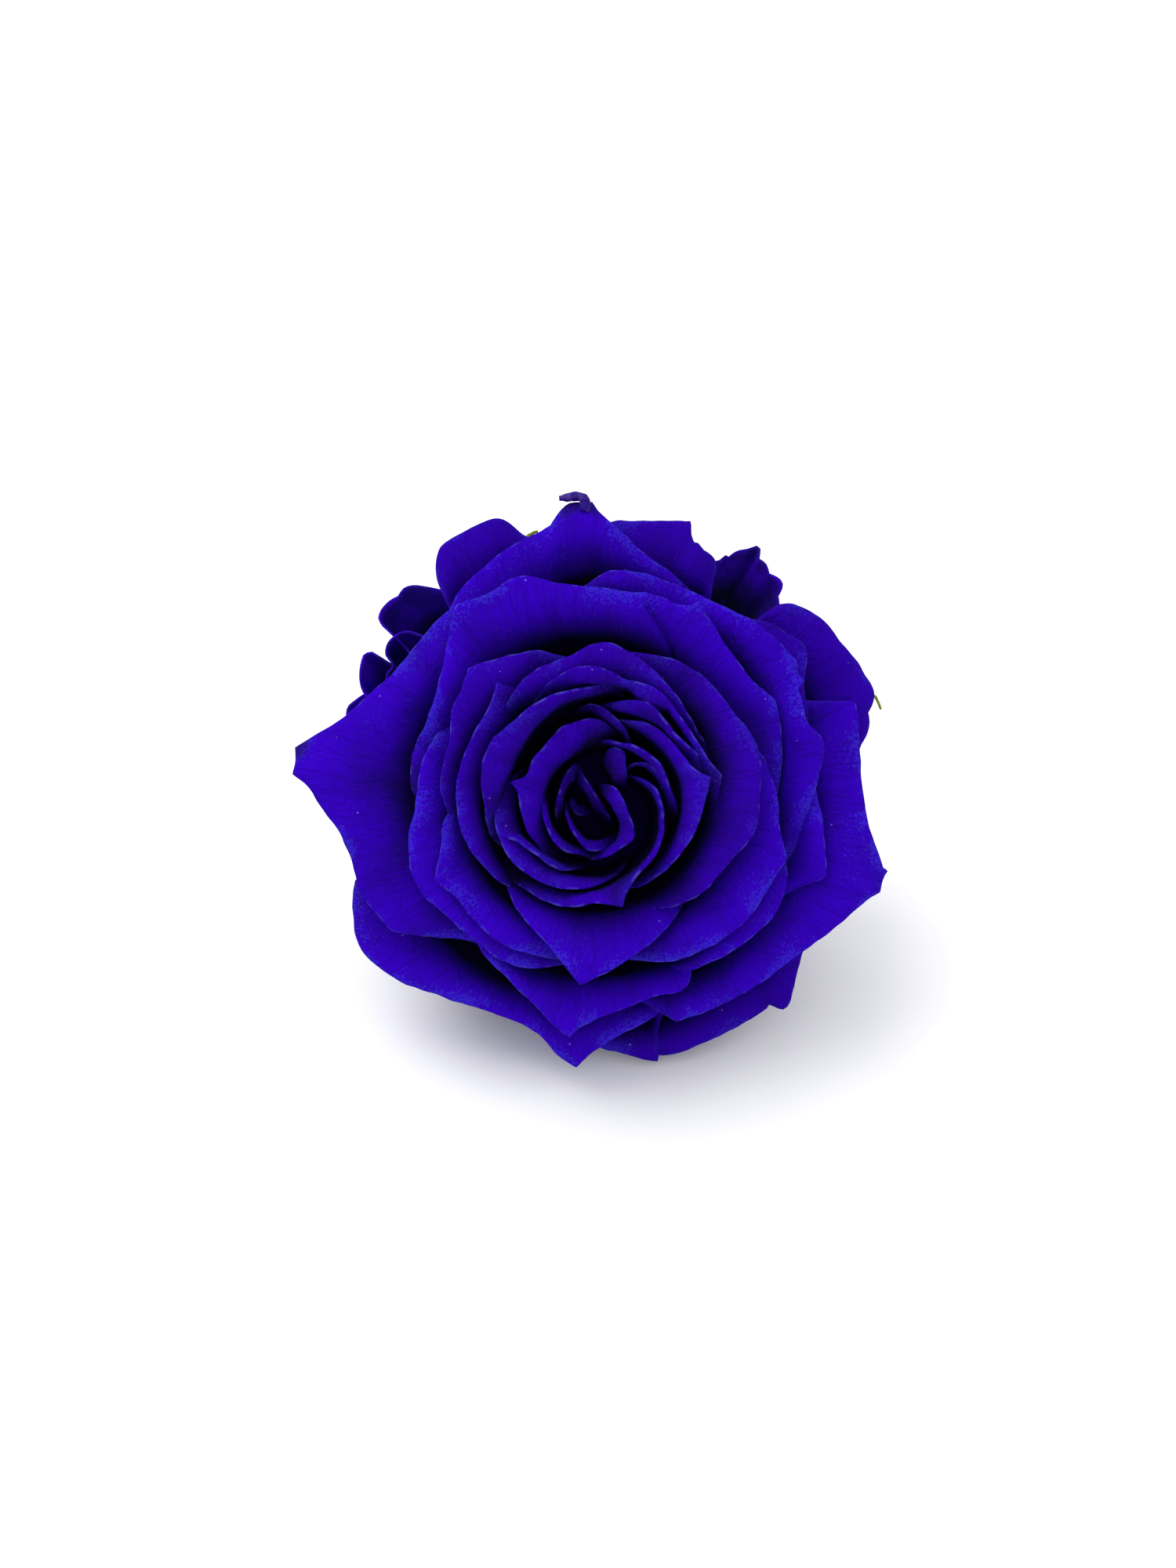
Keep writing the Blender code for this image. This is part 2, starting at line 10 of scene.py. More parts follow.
import bmesh
import bpy
from mathutils import Matrix, Vector, noise


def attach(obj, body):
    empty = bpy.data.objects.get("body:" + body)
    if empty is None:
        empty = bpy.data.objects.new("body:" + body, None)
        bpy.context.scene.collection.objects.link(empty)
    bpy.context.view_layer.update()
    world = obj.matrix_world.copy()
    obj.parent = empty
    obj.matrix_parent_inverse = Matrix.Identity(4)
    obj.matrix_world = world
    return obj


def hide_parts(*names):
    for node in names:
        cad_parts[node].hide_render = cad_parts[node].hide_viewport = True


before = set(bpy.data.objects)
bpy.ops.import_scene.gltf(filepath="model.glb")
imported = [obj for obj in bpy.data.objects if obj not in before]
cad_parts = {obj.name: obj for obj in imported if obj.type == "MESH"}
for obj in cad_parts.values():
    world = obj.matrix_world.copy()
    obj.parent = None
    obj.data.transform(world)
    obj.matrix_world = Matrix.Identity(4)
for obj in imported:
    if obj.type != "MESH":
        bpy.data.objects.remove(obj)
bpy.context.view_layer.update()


# The thick end of the stalk
# Every petal grows from it, so it is hidden but for a dark spot between the innermost ones. It is soft green
# tissue that has taken up the same blue dye, in one piece with the petals. It is drawn nearly black, as
# painted shade.

# The degrees by which the face looks up, and the middle of its front in the imported frame.
MM = 0.001
FACE_UP = 38
EYE = (-0.67, -19.6, 38)
CORE_DEPTH = -28
CORE_RADIUS = 14
CORE_HALF_HEIGHT = 13
CORE_SIDES = 40
CORE_RINGS = 24


def in_scene(name, data):
    """An object of this name in the scene."""
    made = bpy.data.objects.new(name, data)
    bpy.context.scene.collection.objects.link(made)
    return made


def piece_of(name, mesh, material, node, thickness=0):
    """A finished piece: tipped over from the bloom's own axis, in metres and in its place, smooth,
    in its material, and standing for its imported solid. What would sink into the surface rests on
    it, and a sheet gets its thickness."""
    tip_over = Matrix.Rotation(math.radians(90 - FACE_UP), 4, "X")
    in_place = Matrix.Translation(Vector(EYE)) @ tip_over
    bmesh.ops.transform(mesh, matrix=Matrix.Scale(MM, 4) @ in_place, verts=mesh.verts[:])
    for vert in mesh.verts:
        vert.co.z = max(vert.co.z, thickness / 2 * MM)
    data = bpy.data.meshes.new(name)
    mesh.to_mesh(data)
    mesh.free()
    data.shade_smooth()
    data.materials.append(material)
    piece = in_scene(name, data)
    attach(piece, "root")
    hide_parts(node)
    if thickness:
        solidify = piece.modifiers.new("thickness", "SOLIDIFY")
        solidify.thickness = thickness * MM
        solidify.offset = 0
    return piece


def linear(hex_colour):
    """An sRGB hex colour as the linear numbers that a shader takes."""
    shares = [int(hex_colour[i:i + 2], 16) / 255 for i in (1, 3, 5)]
    return [s / 12.92 if s <= 0.04045 else ((s + 0.055) / 1.055) ** 2.4 for s in shares] + [1]


def new_material(name):
    """A material and its shader."""
    material = bpy.data.materials.new(name)
    material.use_nodes = True
    return material, material.node_tree.nodes["Principled BSDF"]


def feed(node, inputs):
    """Gives a node's inputs a value, a hex colour or another node's output each. A list feeds the
    first inputs in their order."""
    for key, source in inputs.items() if isinstance(inputs, dict) else enumerate(inputs):
        socket = node.inputs[key]
        if isinstance(source, bpy.types.NodeSocket):
            socket.id_data.links.new(source, socket)
        elif isinstance(source, str):
            socket.default_value = linear(source)
        else:
            socket.default_value = source


def add_node(material, kind, inputs, output=0, **settings):
    """Adds a shader node with its inputs and settings, and returns the output that is used."""
    node = material.node_tree.nodes.new("ShaderNode" + kind)
    for key, value in settings.items():
        setattr(node, key, value)
    feed(node, inputs)
    return node.outputs[output]


# Dyed tissue: matt, and painted nearly black all over as painted shade, since no light gets down to it. A mix
# of colours has its share at input 0, its colours at 6 and 7, and its result at output 2.
shaded_stalk_tissue, shader = new_material("dyed_stalk_tissue")
place = add_node(shaded_stalk_tissue, "TexCoord", {}, "Object")
fibres = add_node(shaded_stalk_tissue, "TexNoise", {"Vector": place, "Scale": 1 / (1.5 * MM), "Detail": 4})
tint = add_node(shaded_stalk_tissue, "Mix", {0: fibres, 6: "#12004a", 7: "#1f0068"}, 2, data_type="RGBA")
feed(shader, {"Base Color": tint, "Roughness": 0.9, "Specular IOR Level": 0.1})

core = bmesh.new()
bmesh.ops.create_uvsphere(core, u_segments=CORE_SIDES, v_segments=CORE_RINGS, radius=1)
bmesh.ops.scale(core, vec=(CORE_RADIUS, CORE_RADIUS, CORE_HALF_HEIGHT), verts=core.verts[:])
bmesh.ops.translate(core, vec=(0, 0, CORE_DEPTH), verts=core.verts[:])
piece_of("stalk_end", core, shaded_stalk_tissue, "bloom")


# Guard petals
# The four large outer petals that still hold the head together: broad dishes of real petal, dyed
# and preserved, that spread wide and turn over at the rim into points, some of them dried.

# A petal rises from its root as a wall and turns over into its rim. depth: of the top of the
# rim behind the bloom's front. walls: how far from the axis it stands upright, from its clockwise
# end on. rise: height of the curve from there over the rim. roll: degrees that this curve turns
# through. rim: direction in degrees, anticlockwise from the right, and reach. lean: how much
# further forward its anticlockwise end is. pleats: lines along which it is folded in.
Petal = namedtuple("Petal", "name depth walls rise roll rim lean pleats", defaults=[0, ()])

# A rim has a corner where it is marked as a tip, and no neighbour covers an end marked as free.
TIP = "tip"
DRY = "dried tip"
FREE = "free end"

# Reaches are as they look from this far in front of the face, on a plane this far behind it.
SIGHT_DISTANCE = 184
NEAR_PLANE = 10


def widened(radius, depth):
    """A distance from the axis as it looks from the front, turned into the true one."""
    return radius * (SIGHT_DISTANCE - depth) / (SIGHT_DISTANCE + NEAR_PLANE)


# A rim runs on under its neighbours, at most this far and by this share of its reach.
TUCK = 3
TUCK_SHARE = 0.2
TUCK_SHORTENING = 0.45


def tucked(end, side):
    """The point where a rim ends under its neighbour, past this end of its list."""
    angle, reach = end[:2]
    tuck = min(TUCK, TUCK_SHARE * reach)
    return angle + side * math.degrees(tuck / reach), reach - TUCK_SHORTENING * tuck


def between(start, end, at_start, at_end, t):
    """A reach at share T of the turn from one rim point to the next, with these slopes there."""
    turn = end[0] - start[0]
    reach = (2 * t ** 3 - 3 * t ** 2 + 1) * start[1] + (3 * t ** 2 - 2 * t ** 3) * end[1]
    return reach + ((t ** 3 - 2 * t ** 2 + t) * at_start + (t ** 3 - t ** 2) * at_end) * turn


SPLINE_STEPS = 12


def rim_stretches(rim):
    """The rim as smooth stretches that meet at its tips, each a list of directions and reaches."""
    points = rim if FREE in rim[0] else [tucked(rim[0], -1)] + rim
    points = points if FREE in rim[-1] else points + [tucked(rim[-1], 1)]
    slopes = [(end[1] - start[1]) / (end[0] - start[0]) for start, end in zip(points, points[1:])]
    stretches = [[]]
    for i, slope in enumerate(slopes):
        start, end = points[i], points[i + 1]
        at_start, at_end = slope, slope
        if i > 0 and len(start) == 2:
            at_start = (slopes[i - 1] + slope) / 2
        if i + 1 < len(slopes) and len(end) == 2:
            at_end = (slope + slopes[i + 1]) / 2
        for k in range(SPLINE_STEPS + 1):
            t = k / SPLINE_STEPS
            angle = start[0] + t * (end[0] - start[0])
            stretches[-1].append((angle, between(start, end, at_start, at_end, t)))
        if len(end) > 2 and i + 1 < len(slopes):
            stretches.append([])
    return stretches


def lengths_along(points):
    """The distance to each point along the line through them."""
    run = [0]
    for start, end in zip(points, points[1:]):
        run.append(run[-1] + math.dist(start, end))
    return run


# Columns of a petal are this far apart at its rim, or this share of its reach if that is less.
COLUMN_STEP = 0.5
STEP_SHARE = 0.05


def smooth_rim(rim):
    """Directions, reaches and lengths along a rim, in steps as long as a column is wide."""
    line = []
    run_so_far = 0
    for stretch in rim_stretches(rim):
        mean_reach = sum(reach for _, reach in stretch) / len(stretch)
        flat = [(math.radians(angle) * mean_reach, reach) for angle, reach in stretch]
        run = lengths_along(flat)
        steps = max(2, round(run[-1] / min(COLUMN_STEP, STEP_SHARE * mean_reach)))
        line = line[:-1]
        at = 0
        for k in range(steps + 1):
            place_along = run[-1] * k / steps
            while at < len(run) - 2 and run[at + 1] < place_along:
                at += 1
            share = (place_along - run[at]) / (run[at + 1] - run[at])
            start, end = stretch[at], stretch[at + 1]
            angle = start[0] + share * (end[0] - start[0])
            reach = start[1] + share * (end[1] - start[1])
            line.append((angle, reach, run_so_far + place_along))
        run_so_far += run[-1]
    return line


def curve(start, middle, end, t):
    """The place at share T of a curve from START to END that MIDDLE pulls towards itself."""
    return (1 - t) ** 2 * start + 2 * t * (1 - t) * middle + t ** 2 * end


def wall_of(petal, across):
    """How far from the axis the petal stands upright, at this share of the way along its rim."""
    place = across * (len(petal.walls) - 1)
    before = min(int(place), len(petal.walls) - 2)
    return petal.walls[before] + (place - before) * (petal.walls[before + 1] - petal.walls[before])


# Roots of the innermost and the outermost petals, as distance from the axis and depth. A wall
# bulges out and up from its root by these shares. The lip that turns over has a least width.
WALL_ROWS = 10
LIP_ROWS = 16
INNER_ROOT = (1.5, -19)
OUTER_ROOT = (5.5, -38)
OUTER_WALL = 26
BULGE_OUT = 0.84
BULGE_UP = 0.1
LIP_SHARE = 0.05
WIDEST_LEAST_LIP = 1.9


def profile_point(petal, across, reach, crest, row):
    """Distance from the axis and depth of one row: up the wall from the root, then over the rim."""
    wall = wall_of(petal, across)
    wall = min(wall, reach - min(LIP_SHARE * reach, WIDEST_LEAST_LIP))
    outwards = min(1, wall / OUTER_WALL)
    root_radius = INNER_ROOT[0] + outwards * (OUTER_ROOT[0] - INNER_ROOT[0])
    root_depth = INNER_ROOT[1] + outwards * (OUTER_ROOT[1] - INNER_ROOT[1])
    if row <= WALL_ROWS:
        t = row / WALL_ROWS
        top = crest - petal.rise
        belly_radius = root_radius + BULGE_OUT * (wall - root_radius)
        belly_depth = root_depth + BULGE_UP * (top - root_depth)
        return curve(root_radius, belly_radius, wall, t), curve(root_depth, belly_depth, top, t)
    turned = math.radians(petal.roll) * (row - WALL_ROWS) / LIP_ROWS
    half_width = (reach - wall) / (1 - math.cos(math.radians(petal.roll)))
    radius = wall + half_width * (1 - math.cos(turned))
    return radius, crest - petal.rise * (1 - math.sin(turned))


# A pleat is this deep and wide, and runs out over this length before its outer end.
PLEAT_DEPTH = 1.5
PLEAT_WIDTH = 0.6
PLEAT_FADE = 1.6


def folded_in(petal, angle, reach):
    """How deep the petal is folded in at this place by its pleats, each a line between two places."""
    depth = 0
    for (inner_angle, inner_reach), (outer_angle, outer_reach) in petal.pleats:
        share = (reach - inner_reach) / (outer_reach - inner_reach)
        off = abs(angle - inner_angle - share * (outer_angle - inner_angle)) * math.radians(reach)
        fade = min(1, max(0, outer_reach - reach) / PLEAT_FADE)
        depth += PLEAT_DEPTH * fade * math.exp(-off / PLEAT_WIDTH)
    return depth


# A petal is lower at its two sides, by this share of its height and mostly close to them.
SHOULDER_DROP = 0.22
SHOULDER_POWER = 3

# Waves of its surface, each with its depth and length: small ones, long swells that only rise and
# sink, those along its rim, and the little nicks that its rim has dried into. They are smaller on
# a petal that reaches less far than FULL_WAVES_FROM, and rims have slices of noise of their own.
SURFACE_WAVE = 0.22
SURFACE_WAVE_LENGTH = 7
SWELL = 1.5
SWELL_LENGTH = 9
RIM_WAVE = 0.35
RIM_WAVE_LENGTH = 4.5
RIM_NICK = 0.14
RIM_NICK_LENGTH = 1.5
FULL_WAVES_FROM = 14
WAVE_SLICE = 0.5
NICK_SLICE = 7.5

# Blender seeds its noise vectors from the clock, so this seed makes each run the same.
NOISE_SEED = 1
noise.seed_set(NOISE_SEED)


def column_points(petal, across, angle, reach, run, seed):
    """The points of one column of a petal, from its root to its rim."""
    off_centre = abs(2 * across - 1) ** SHOULDER_POWER
    shoulder = SHOULDER_DROP * (petal.depth - OUTER_ROOT[1]) * off_centre
    crest = petal.depth + petal.lean * (across - 0.5) - shoulder
    size = min(1, reach / FULL_WAVES_FROM)
    crest += RIM_WAVE * size * noise.noise(Vector((run / RIM_WAVE_LENGTH, seed, WAVE_SLICE)))
    reach += RIM_NICK * size * noise.noise(Vector((run / RIM_NICK_LENGTH, seed, NICK_SLICE)))
    turn = math.radians(angle)
    points = []
    for row in range(WALL_ROWS + LIP_ROWS + 1):
        radius, depth = profile_point(petal, across, reach, crest, row)
        depth -= folded_in(petal, angle, radius)
        radius = widened(radius, depth)
        point = Vector((radius * math.cos(turn), radius * math.sin(turn), depth))
        wave = noise.noise_vector(point / SURFACE_WAVE_LENGTH + Vector((seed, 0, 0)))
        swell = noise.noise(point / SWELL_LENGTH + Vector((0, seed, 0)))
        height = row / (WALL_ROWS + LIP_ROWS)
        points.append(point + size * height * (SURFACE_WAVE * wave + Vector((0, 0, SWELL * swell))))
    return points


# An end that lies HIDDEN_AFTER below the petal's middle counts as going down into the head, and gets more
# painted shade by HIDDEN_SHARE of how far it lies lower. Tips have dried over DRY_REACH.
HIDDEN_AFTER = 1
HIDDEN_SHARE = 0.6
DRY_REACH = 2.4


def flat_sheet(columns, rows):
    """A square sheet of this many columns and rows, which reaches from -1 to 1 both ways."""
    sheet = bmesh.new()
    bmesh.ops.create_grid(sheet, x_segments=columns, y_segments=rows, size=1)
    return sheet


def petal_mesh(petal, seed, axis):
    """A petal as a sheet, curled round the axis that stands at this place. It has its own
    coordinates: millimetres along its rim and up from its root. It also knows how far each point
    is from its rim, below its crest and from the tips that have dried."""
    line = smooth_rim(petal.rim)
    columns = len(line) - 1
    rows = WALL_ROWS + LIP_ROWS
    grid = [column_points(petal, i / columns, *line[i], seed) for i in range(columns + 1)]
    heights = [lengths_along(points) for points in grid]
    sheet = flat_sheet(columns, rows)
    to_rim = sheet.verts.layers.float.new("to_rim")
    sunk = sheet.verts.layers.float.new("sunk")
    dried = sheet.verts.layers.float.new("dried")
    own_place = sheet.loops.layers.uv.new("petal")
    dry_runs = [run for angle, _, run in line if any(DRY in p and p[0] == angle for p in petal.rim)]
    for vert in sheet.verts:
        column = round((vert.co.x + 1) / 2 * columns)
        row = round((vert.co.y + 1) / 2 * rows)
        vert.co = grid[column][row] + Vector((*axis, 0))
        vert[to_rim] = heights[column][-1] - heights[column][row]
        # How far a point lies below its crest, raised on ends that go down into the head, sets how much
        # painted shade it gets.
        crest = max(point.z for point in grid[column][row:])
        hidden = max(0, petal.depth - HIDDEN_AFTER - crest)
        vert[sunk] = crest - grid[column][row].z + HIDDEN_SHARE * hidden
        off_tip = min((abs(line[column][2] - run) for run in dry_runs), default=DRY_REACH)
        vert[dried] = max(0, 1 - math.hypot(off_tip, vert[to_rim]) / DRY_REACH)
        for loop in vert.link_loops:
            loop[own_place].uv = (line[column][2], heights[column][row])
    return sheet


PETAL_THICKNESS = 0.3
SEEDS = 97


def grow(petals, material, axis=(0, 0)):
    """Makes each petal of a ring, with waves that its name gives the seed of."""
    for petal in petals:
        sheet = petal_mesh(petal, sum(map(ord, petal.name)) % SEEDS, axis)
        piece_of(petal.name, sheet, material, "bloom", PETAL_THICKNESS)


# Its last three arguments are the colour of the painted shade, the depth below the crest where that shade is
# full, and the strength of the painted sheen.
def dyed_petal(name, face, shade, painted_shade, dark_after, painted_sheen):
    """Preserved rose petal: living tissue whose sap was replaced by dyed glycerine. It looks like velvet,
    matt and deep. Painted shade turns it nearly black below its crest towards the root, a painted sheen lies
    as pale stipple where its rim turns, and a painted highlight runs along the rim."""
    petal, shader = new_material(name)
    place = add_node(petal, "TexCoord", {}, "Object")
    own_place = add_node(petal, "UVMap", {}, uv_map="petal")
    to_rim = add_node(petal, "Attribute", {}, "Fac", attribute_name="to_rim")
    sunk = add_node(petal, "Attribute", {}, "Fac", attribute_name="sunk")
    dried = add_node(petal, "Attribute", {}, "Fac", attribute_name="dried")

    # Dye takes unevenly, in blotches about 5 mm wide. Painted shade darkens the petal the further it lies
    # below its crest and goes down into the head. This painted shade has no sharp border: its edge wanders
    # with the blotches and breaks up into grains of 0.3 mm.
    blotches = add_node(petal, "TexNoise", {"Vector": place, "Scale": 1 / (5 * MM), "Detail": 3})
    grains = add_node(petal, "TexNoise", {"Vector": place, "Scale": 1 / (0.3 * MM), "Detail": 2})
    dye = add_node(petal, "Mix", {0: blotches, 6: face, 7: shade}, 2, data_type="RGBA")
    wander = add_node(petal, "MapRange", [blotches, 0.35, 0.65, -0.9, 0.9])
    grainy = add_node(petal, "MapRange", [grains, 0.35, 0.65, -0.5, 0.5])
    wandered = add_node(petal, "Math", [sunk, wander], operation="ADD")
    how_low = add_node(petal, "Math", [wandered, grainy], operation="ADD")
    painted_shade_share = add_node(petal, "MapRange", [how_low, 0.4, dark_after, 0, 0.95])
    with_painted_shade = add_node(petal, "Mix", {0: painted_shade_share, 6: dye, 7: painted_shade}, 2, data_type="RGBA")

    # Veins run up from the root, about 0.7 mm apart, joined by a net of wider meshes. Creases about 2 mm
    # apart run up the petal the same way, where it was pressed in the bud. Both are drawn darker: the veins
    # in their own colour, the creases as painted shade in their folds.
    vein_place = add_node(petal, "Mapping", {"Vector": own_place, "Scale": (1 / 0.7, 1 / 9, 1)})
    vein_noise = {"Vector": vein_place, "Scale": 1, "Detail": 3, "Distortion": 0.4}
    streak_line = add_node(petal, "MapRange", [add_node(petal, "TexNoise", vein_noise), 0.5, 0.72, 0, 0.6])
    net_place = add_node(petal, "Mapping", {"Vector": own_place, "Scale": (1 / 1.3, 1 / 3.4, 1)})
    net = add_node(petal, "TexVoronoi", {"Vector": net_place, "Scale": 1}, feature="DISTANCE_TO_EDGE")
    net_line = add_node(petal, "MapRange", [net, 0, 0.07, 0.45, 0])
    veins = add_node(petal, "Math", [net_line, streak_line], operation="MAXIMUM")
    fold_place = add_node(petal, "Mapping", {"Vector": own_place, "Scale": (1 / 2, 1 / 12, 1)})
    fold_noise = {"Vector": fold_place, "Scale": 1, "Detail": 2, "Distortion": 1.2}
    off_crease = add_node(petal, "Math", [add_node(petal, "TexNoise", fold_noise), 0.5], operation="SUBTRACT")
    from_crease = add_node(petal, "Math", [off_crease], operation="ABSOLUTE")
    creases = add_node(petal, "MapRange", [from_crease, 0, 0.035, 1, 0])
    lines = add_node(petal, "Math", [veins, creases], operation="ADD")
    # The darker lines: vein colour, and painted shade in the creases.
    line_share = add_node(petal, "Math", [lines, 0.19], operation="MULTIPLY")
    veined = add_node(petal, "Mix", {0: line_share, 6: with_painted_shade, 7: "#120058"}, 2, data_type="RGBA")

    # A painted sheen of pale stipple, drawn with the same grains, stands for the velvet catching the light
    # where the rim turns: closest before the rim, in patches about 6 mm long with bare dye between them.
    patches = add_node(petal, "TexNoise", {"Vector": place, "Scale": 1 / (6 * MM), "Detail": 3})
    patchiness = add_node(petal, "MapRange", [patches, 0.42, 0.58, -0.2, 0.12])
    nearness = add_node(petal, "MapRange", [to_rim, 0, 2.1, 0.1, -0.15])
    raised = add_node(petal, "Math", [grains, patchiness], operation="ADD")
    closeness = add_node(petal, "Math", [raised, nearness], operation="ADD")
    sheen_share = add_node(petal, "MapRange", [closeness, 0.56, 0.7, 0, painted_sheen])
    with_painted_sheen = add_node(petal, "Mix", {0: sheen_share, 6: veined, 7: "#3036c8"}, 2, data_type="RGBA")

    # A painted highlight makes the rim itself paler over 0.2 mm, in dashes about 1.6 mm long. The tips that
    # dried right through are dull and dark, and pale specks are rare.
    dash_place = add_node(petal, "Mapping", {"Vector": own_place, "Scale": (1 / 1.6, 1 / 40, 1)})
    dashes = add_node(petal, "TexNoise", {"Vector": dash_place, "Scale": 1, "Detail": 4})
    rim_highlight_dash = add_node(petal, "MapRange", [dashes, 0.5, 0.62, 0, 0.35])
    at_rim = add_node(petal, "MapRange", [to_rim, 0.02, 0.2, 1, 0])
    rim_share = add_node(petal, "Math", [at_rim, rim_highlight_dash], operation="MULTIPLY")
    rimmed = add_node(petal, "Mix", {0: rim_share, 6: with_painted_sheen, 7: "#5c58c8"}, 2, data_type="RGBA")
    dry_tips = add_node(petal, "Math", [dried, blotches], operation="MULTIPLY")
    dry_share = add_node(petal, "MapRange", [dry_tips, 0.12, 0.34, 0, 0.8])
    tipped = add_node(petal, "Mix", {0: dry_share, 6: rimmed, 7: "#1c0c5c"}, 2, data_type="RGBA")
    dust = add_node(petal, "TexVoronoi", {"Vector": place, "Scale": 1 / (3 * MM)})
    speck = add_node(petal, "MapRange", [dust, 0.02, 0.045, 0.5, 0])
    specked = add_node(petal, "Mix", {0: speck, 6: tipped, 7: "#8a84e6"}, 2, data_type="RGBA")

    # Grains stand up and veins lie in. The pile of the velvet shows as a faint blue sheen.
    relief = add_node(petal, "Math", [grains, lines], operation="SUBTRACT")
    bump = add_node(petal, "Bump", {"Strength": 0.5, "Distance": 0.25 * MM, "Height": relief})
    feed(shader, {"Base Color": specked, "Normal": bump, "Roughness": 0.8, "Specular IOR Level": 0.02,
                  "Sheen Weight": 0.04, "Sheen Roughness": 0.3, "Sheen Tint": "#3c50ff"})
    return petal


royal_blue_petal = dyed_petal("royal_blue_dyed_petal", "#3300b6", "#2b00a0", "#120e22", 5.5, 0.34)

GUARD_PETALS = [
    Petal("guard_top", -15.5, (24.4, 25.4, 25.2, 23.2, 22), 7, 105, [
        (70, 27.4), (75.8, 28.4), (80.5, 29.5), (83.2, 30.6), (86.1, 31.8), (88.7, 33.1), (89.8, 34, DRY),
        (94.1, 34, DRY), (95.1, 33.7), (96.8, 32.7), (98.3, 31.7, TIP), (102.2, 31.1), (107, 30.6),
        (113, 29.6), (121, 28.4), (128, 26.6)]),
    Petal("guard_left", -12.5, (20.4, 19.4, 18.8), 7, 110, [
        (124, 27), (134, 26.7), (144, 26.6), (153.5, 27.9), (160, 29.4), (163.4, 30.7), (167.5, 33.1),
        (168.7, 33.9, DRY), (171.2, 33.5), (173.7, 33.5, TIP), (175.8, 31.7), (178.4, 30.6), (183.5, 28.7),
        (189, 27.6), (201.4, 27.3), (211.5, 26.2, TIP), (225, 20.7)], lean=2),
    Petal("guard_lower_left", -16, (22, 21.6, 21), 8.5, 100, [
        (203, 28.9), (211.7, 29.9), (223, 28.6), (231, 26.9), (247, 25.4), (257, 25.8), (262, 27.6),
        (266.3, 28.9, TIP), (269.6, 27.3), (276.5, 25.5), (285.4, 24.2)], lean=2),
    Petal("guard_right", -13.5, (21, 22, 24.4), 7, 110, [
        (-75.6, 22.3), (-68.5, 25.4, TIP), (-60, 26), (-47, 26.8), (-34.9, 28.2), (-26.9, 29.9),
        (-17.9, 32.6), (-16.2, 33.5, TIP), (-13, 33.5), (-11.9, 33.7, TIP), (-11.5, 33.1, TIP),
        (-5.4, 31.2), (3.6, 30.2), (12.8, 30.5), (21.6, 31.5, TIP), (26.8, 26.4)]),
]
grow(GUARD_PETALS, royal_blue_petal)

# The point of the upper one has dried, shrunk to a strip and curled to the left. A strand's path
# is a list of places to the right of the eye and above it, as they look.
Strand = namedtuple("Strand", "name depth radius curl path")


def spot_along(path, share):
    """A point and the heading at this share of the way along a path of right and up places."""
    run = lengths_along(path)
    at = 0
    while at < len(path) - 2 and run[at + 1] < share * run[-1]:
        at += 1
    t = (share * run[-1] - run[at]) / (run[at + 1] - run[at])
    start, end = Vector(path[at]), Vector(path[at + 1])
    return start + t * (end - start), (end - start).normalized()


STRAND_ROWS = 24
STRAND_COLUMNS = 8
STRAND_THICKNESS = 0.12
STRAND_NARROWING = 0.6
STRAND_WRINKLE = 0.4
WRINKLES_ALONG = 7
SMOOTHING = 0.5


def make_strand(strand, material, node):
    """A dried strip, rolled in along its length by so many degrees, that narrows at its end."""
    sheet = flat_sheet(STRAND_COLUMNS, STRAND_ROWS)
    for vert in sheet.verts:
        along = (vert.co.y + 1) / 2
        spot, heading = spot_along(strand.path, along)
        turned = math.radians(strand.curl) * vert.co.x
        radius = strand.radius * (1 - STRAND_NARROWING * along ** 2)
        wrinkle = noise.noise(Vector((along * WRINKLES_ALONG, vert.co.x, strand.depth)))
        radius *= 1 + STRAND_WRINKLE * wrinkle
        out = radius * math.sin(turned)
        true_x = widened(spot.x - out * heading.y, strand.depth)
        true_y = widened(spot.y + out * heading.x, strand.depth)
        vert.co = Vector((true_x, true_y, strand.depth + radius * math.cos(turned)))
    bmesh.ops.smooth_vert(sheet, verts=sheet.verts[:], factor=SMOOTHING, use_axis_x=True,
                          use_axis_y=True, use_axis_z=True)
    piece_of(strand.name, sheet, material, node, STRAND_THICKNESS)


# Dried petal: shrunk, hard and a little shiny, dull purple with lilac where the dye ran thin.
dried_petal, shader = new_material("dried_petal_tip")
place = add_node(dried_petal, "TexCoord", {}, "Object")
wrinkles = add_node(dried_petal, "TexNoise", {"Vector": place, "Scale": 1 / (0.9 * MM), "Detail": 4})
thin_dye = add_node(dried_petal, "MapRange", [wrinkles, 0.46, 0.68])
tint = add_node(dried_petal, "Mix", {0: thin_dye, 6: "#200070", 7: "#44307a"}, 2, data_type="RGBA")
bump = add_node(dried_petal, "Bump", {"Strength": 0.6, "Distance": 0.15 * MM, "Height": wrinkles})
feed(shader, {"Base Color": tint, "Normal": bump, "Roughness": 0.6, "Specular IOR Level": 0.1})

make_strand(Strand("guard_top_curl", -15.2, 0.62, 130, [
    (-0.9, 33), (-0.75, 33.7), (-0.8, 34.4), (-1.3, 34.7), (-2.3, 34.65), (-3.7, 34.5)]),
    dried_petal, "bloom")


# Middle petals
# Nine broad petals inside the guard ones, closely packed, each tucked under the next. They are
# of the same dyed tissue, and their turned rims stand a little apart from each other.

